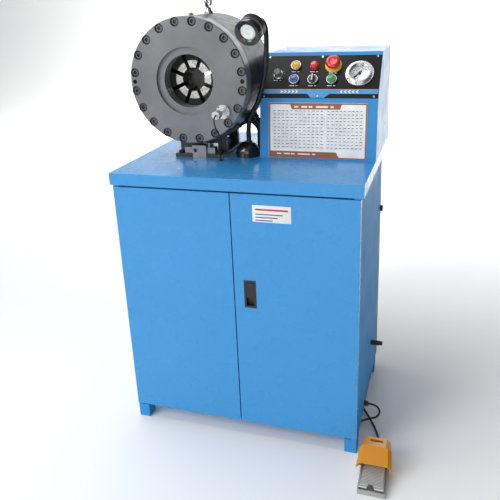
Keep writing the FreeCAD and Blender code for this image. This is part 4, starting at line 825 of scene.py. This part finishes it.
# ---------------------------------------------------------------- pressure gauge
# A flanged steel case with a polished stepped bezel, a white dial with a scale over three quarters of
# a turn, a black needle on a small hub, and a flat glass.
case_steel = bright_metal("case_steel", (0.68, 0.68, 0.69), 0.2)
worked_copy("gauge_case", "gauge_bezel", 0.0006, case_steel, 3)
gauge_plate = gauge_centre - outwards * gauge_out
dial_white = moulded("dial_white", (0.80, 0.80, 0.79), 0.45)
dial = turned("gauge_dial", [(0.0268, 0.0034), (0.0268, 0.0042), (0.0258, 0.0046), (0.0040, 0.0046),
                             (0.0035, 0.0042), (0.0017, 0.0042)], gauge_plate, outwards, dial_white, 64)
scale_black = moulded("scale_black", (0.012, 0.012, 0.012), 0.5)
ticks = []
tick_count = 30
for k in range(tick_count + 1):
    turn = math.radians(225 - 270 * k / tick_count)
    long_tick = k % 5 == 0
    reach = (0.0185 if long_tick else 0.0208, 0.0232)
    half_width = 0.00045 if long_tick else 0.00022
    ticks.append(radial_mark(f"tick_{k}", gauge_plate, turn, reach, half_width, 0.00461, scale_black, 0.0001))
dial_face = joined("gauge_dial_face", [dial] + ticks)
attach(dial_face, "machine")
worked_copy("gauge_needle", "gauge_pointer", 0.0002, scale_black)
glass, glass_tree, glass_shader, glass_place = material_for("gauge_window", (0.95, 0.98, 1.0), 0.03)
glass_shader.inputs["Transmission Weight"].default_value = 1.0
glass_shader.inputs["IOR"].default_value = 1.2
relief(glass_tree, glass_shader, grain(glass_tree, glass_place, 40, 2), 0.00002, 0.15)
window = turned("gauge_window", [(0.0288, 0.0081), (0.0289, 0.0085), (0.0289, 0.0092), (0.0284, 0.0095),
                                 (0.002, 0.0095)], gauge_plate, outwards, glass, 64)
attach(window, "machine")
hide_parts("gauge_glass")

# ---------------------------------------------------------------- work lamp
# A spun steel dome on the tabletop carries a bent steel arm in a ribbed black sleeve. The lamp head is
# a glossy black die casting with cooling ribs, a stepped front ring and an opal diffuser.
lamp_gloss = moulded("lamp_gloss", (0.010, 0.010, 0.011), 0.2, 0.6)
worked_copy("lamp_base", "spun_dome", 0.0008, lamp_gloss, 3)
sleeve, sleeve_tree, sleeve_shader, sleeve_place = material_for("ribbed_sleeve", (0.012, 0.012, 0.013), 0.42)
ribs = sleeve_tree.nodes.new("ShaderNodeTexWave")
ribs.bands_direction = "Z"
ribs.inputs["Scale"].default_value = 95
ribs.inputs["Distortion"].default_value = 0.3
sleeve_tree.links.new(sleeve_place, ribs.inputs["Vector"])
sleeve_tree.links.new(spread(sleeve_tree, grain(sleeve_tree, sleeve_place, 80), 0.32, 0.55),
                      sleeve_shader.inputs["Roughness"])
relief(sleeve_tree, sleeve_shader, ribs.outputs["Fac"], 0.0005, 0.6)
worked_copy("lamp_gooseneck", "bent_arm", 0, sleeve)
lamp_tilt = joints["lamp_tilt"]
ball = Vector(lamp_tilt["pos_m"])
lamp_way = Vector((-0.15, -0.90, -0.41)).normalized()
lamp_back = ball + lamp_way * 0.003
shell_outline = [(0.0080, -0.0078), (0.0125, -0.0080), (0.0140, -0.0066), (0.0140, -0.0010), (0.0165, 0.0005),
                 (0.0240, 0.0045), (0.0310, 0.0092), (0.0340, 0.0140)]
for k in range(3):
    fin = 0.0155 + 0.0071 * k
    shell_outline += [(0.0340, fin), (0.0355, fin + 0.0005), (0.0355, fin + 0.0035), (0.0340, fin + 0.0041)]
shell_outline += [(0.0355, 0.0368), (0.0355, 0.0390), (0.0345, 0.0396), (0.0345, 0.0420), (0.0360, 0.0430),
                  (0.0360, 0.0562), (0.0352, 0.0578), (0.0330, 0.0578), (0.0318, 0.0568), (0.0285, 0.0564),
                  (0.0240, 0.0540), (0.0218, 0.0520), (0.0214, 0.0470), (0.0040, 0.0470)]
shell = turned("lamp_shell", shell_outline, lamp_back, lamp_way, lamp_gloss, 72)
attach(shell, "lamp_head")
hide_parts("lamp_head")
opal, opal_tree, opal_shader, opal_place = material_for("opal_diffuser", (0.55, 0.55, 0.50), 0.3)
opal_tone = spread(opal_tree, grain(opal_tree, opal_place, 60), 0, 1)
tint(opal_tree, opal_shader, opal_tone, (0.60, 0.61, 0.55), (0.84, 0.84, 0.78))
relief(opal_tree, opal_shader, grain(opal_tree, opal_place, 900, 1), 0.0003, 0.4)
opal_shader.inputs["Subsurface Weight"].default_value = 0.2
diffuser = turned("lamp_diffuser", [(0.0211, 0.0476), (0.0211, 0.0508), (0.0198, 0.0522), (0.0150, 0.0532),
                                    (0.0144, 0.0529), (0.008, 0.0536), (0.002, 0.0537)],
                  lamp_back, lamp_way, opal, 64)
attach(diffuser, "lamp_head")
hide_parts("lamp_lens")

# ---------------------------------------------------------------- foot pedal
# A cast grey base with a ribbed aluminium tread on a cross pin, under a pressed orange hood that keeps
# things from falling on the tread.
orange_enamel = enamel("orange_enamel", (0.66, 0.26, 0.012), 0.32)
worked_copy("pedal_hood", "pressed_hood", 0.0016, orange_enamel, 3)
pedal_casting = cast_paint("pedal_casting", (0.40, 0.42, 0.40), 0.42)
worked_copy("pedal_base", "cast_pedal_base", 0.0014, pedal_casting, 3)
tread_metal = bright_metal("tread_metal", (0.78, 0.78, 0.76), 0.5, (0.2, 1, 1))
worked_copy("pedal_tread", "ribbed_tread", 0.0005, tread_metal)
worked_copy("pedal_pin", "bright_pedal_pin", 0.0004, plated_steel)
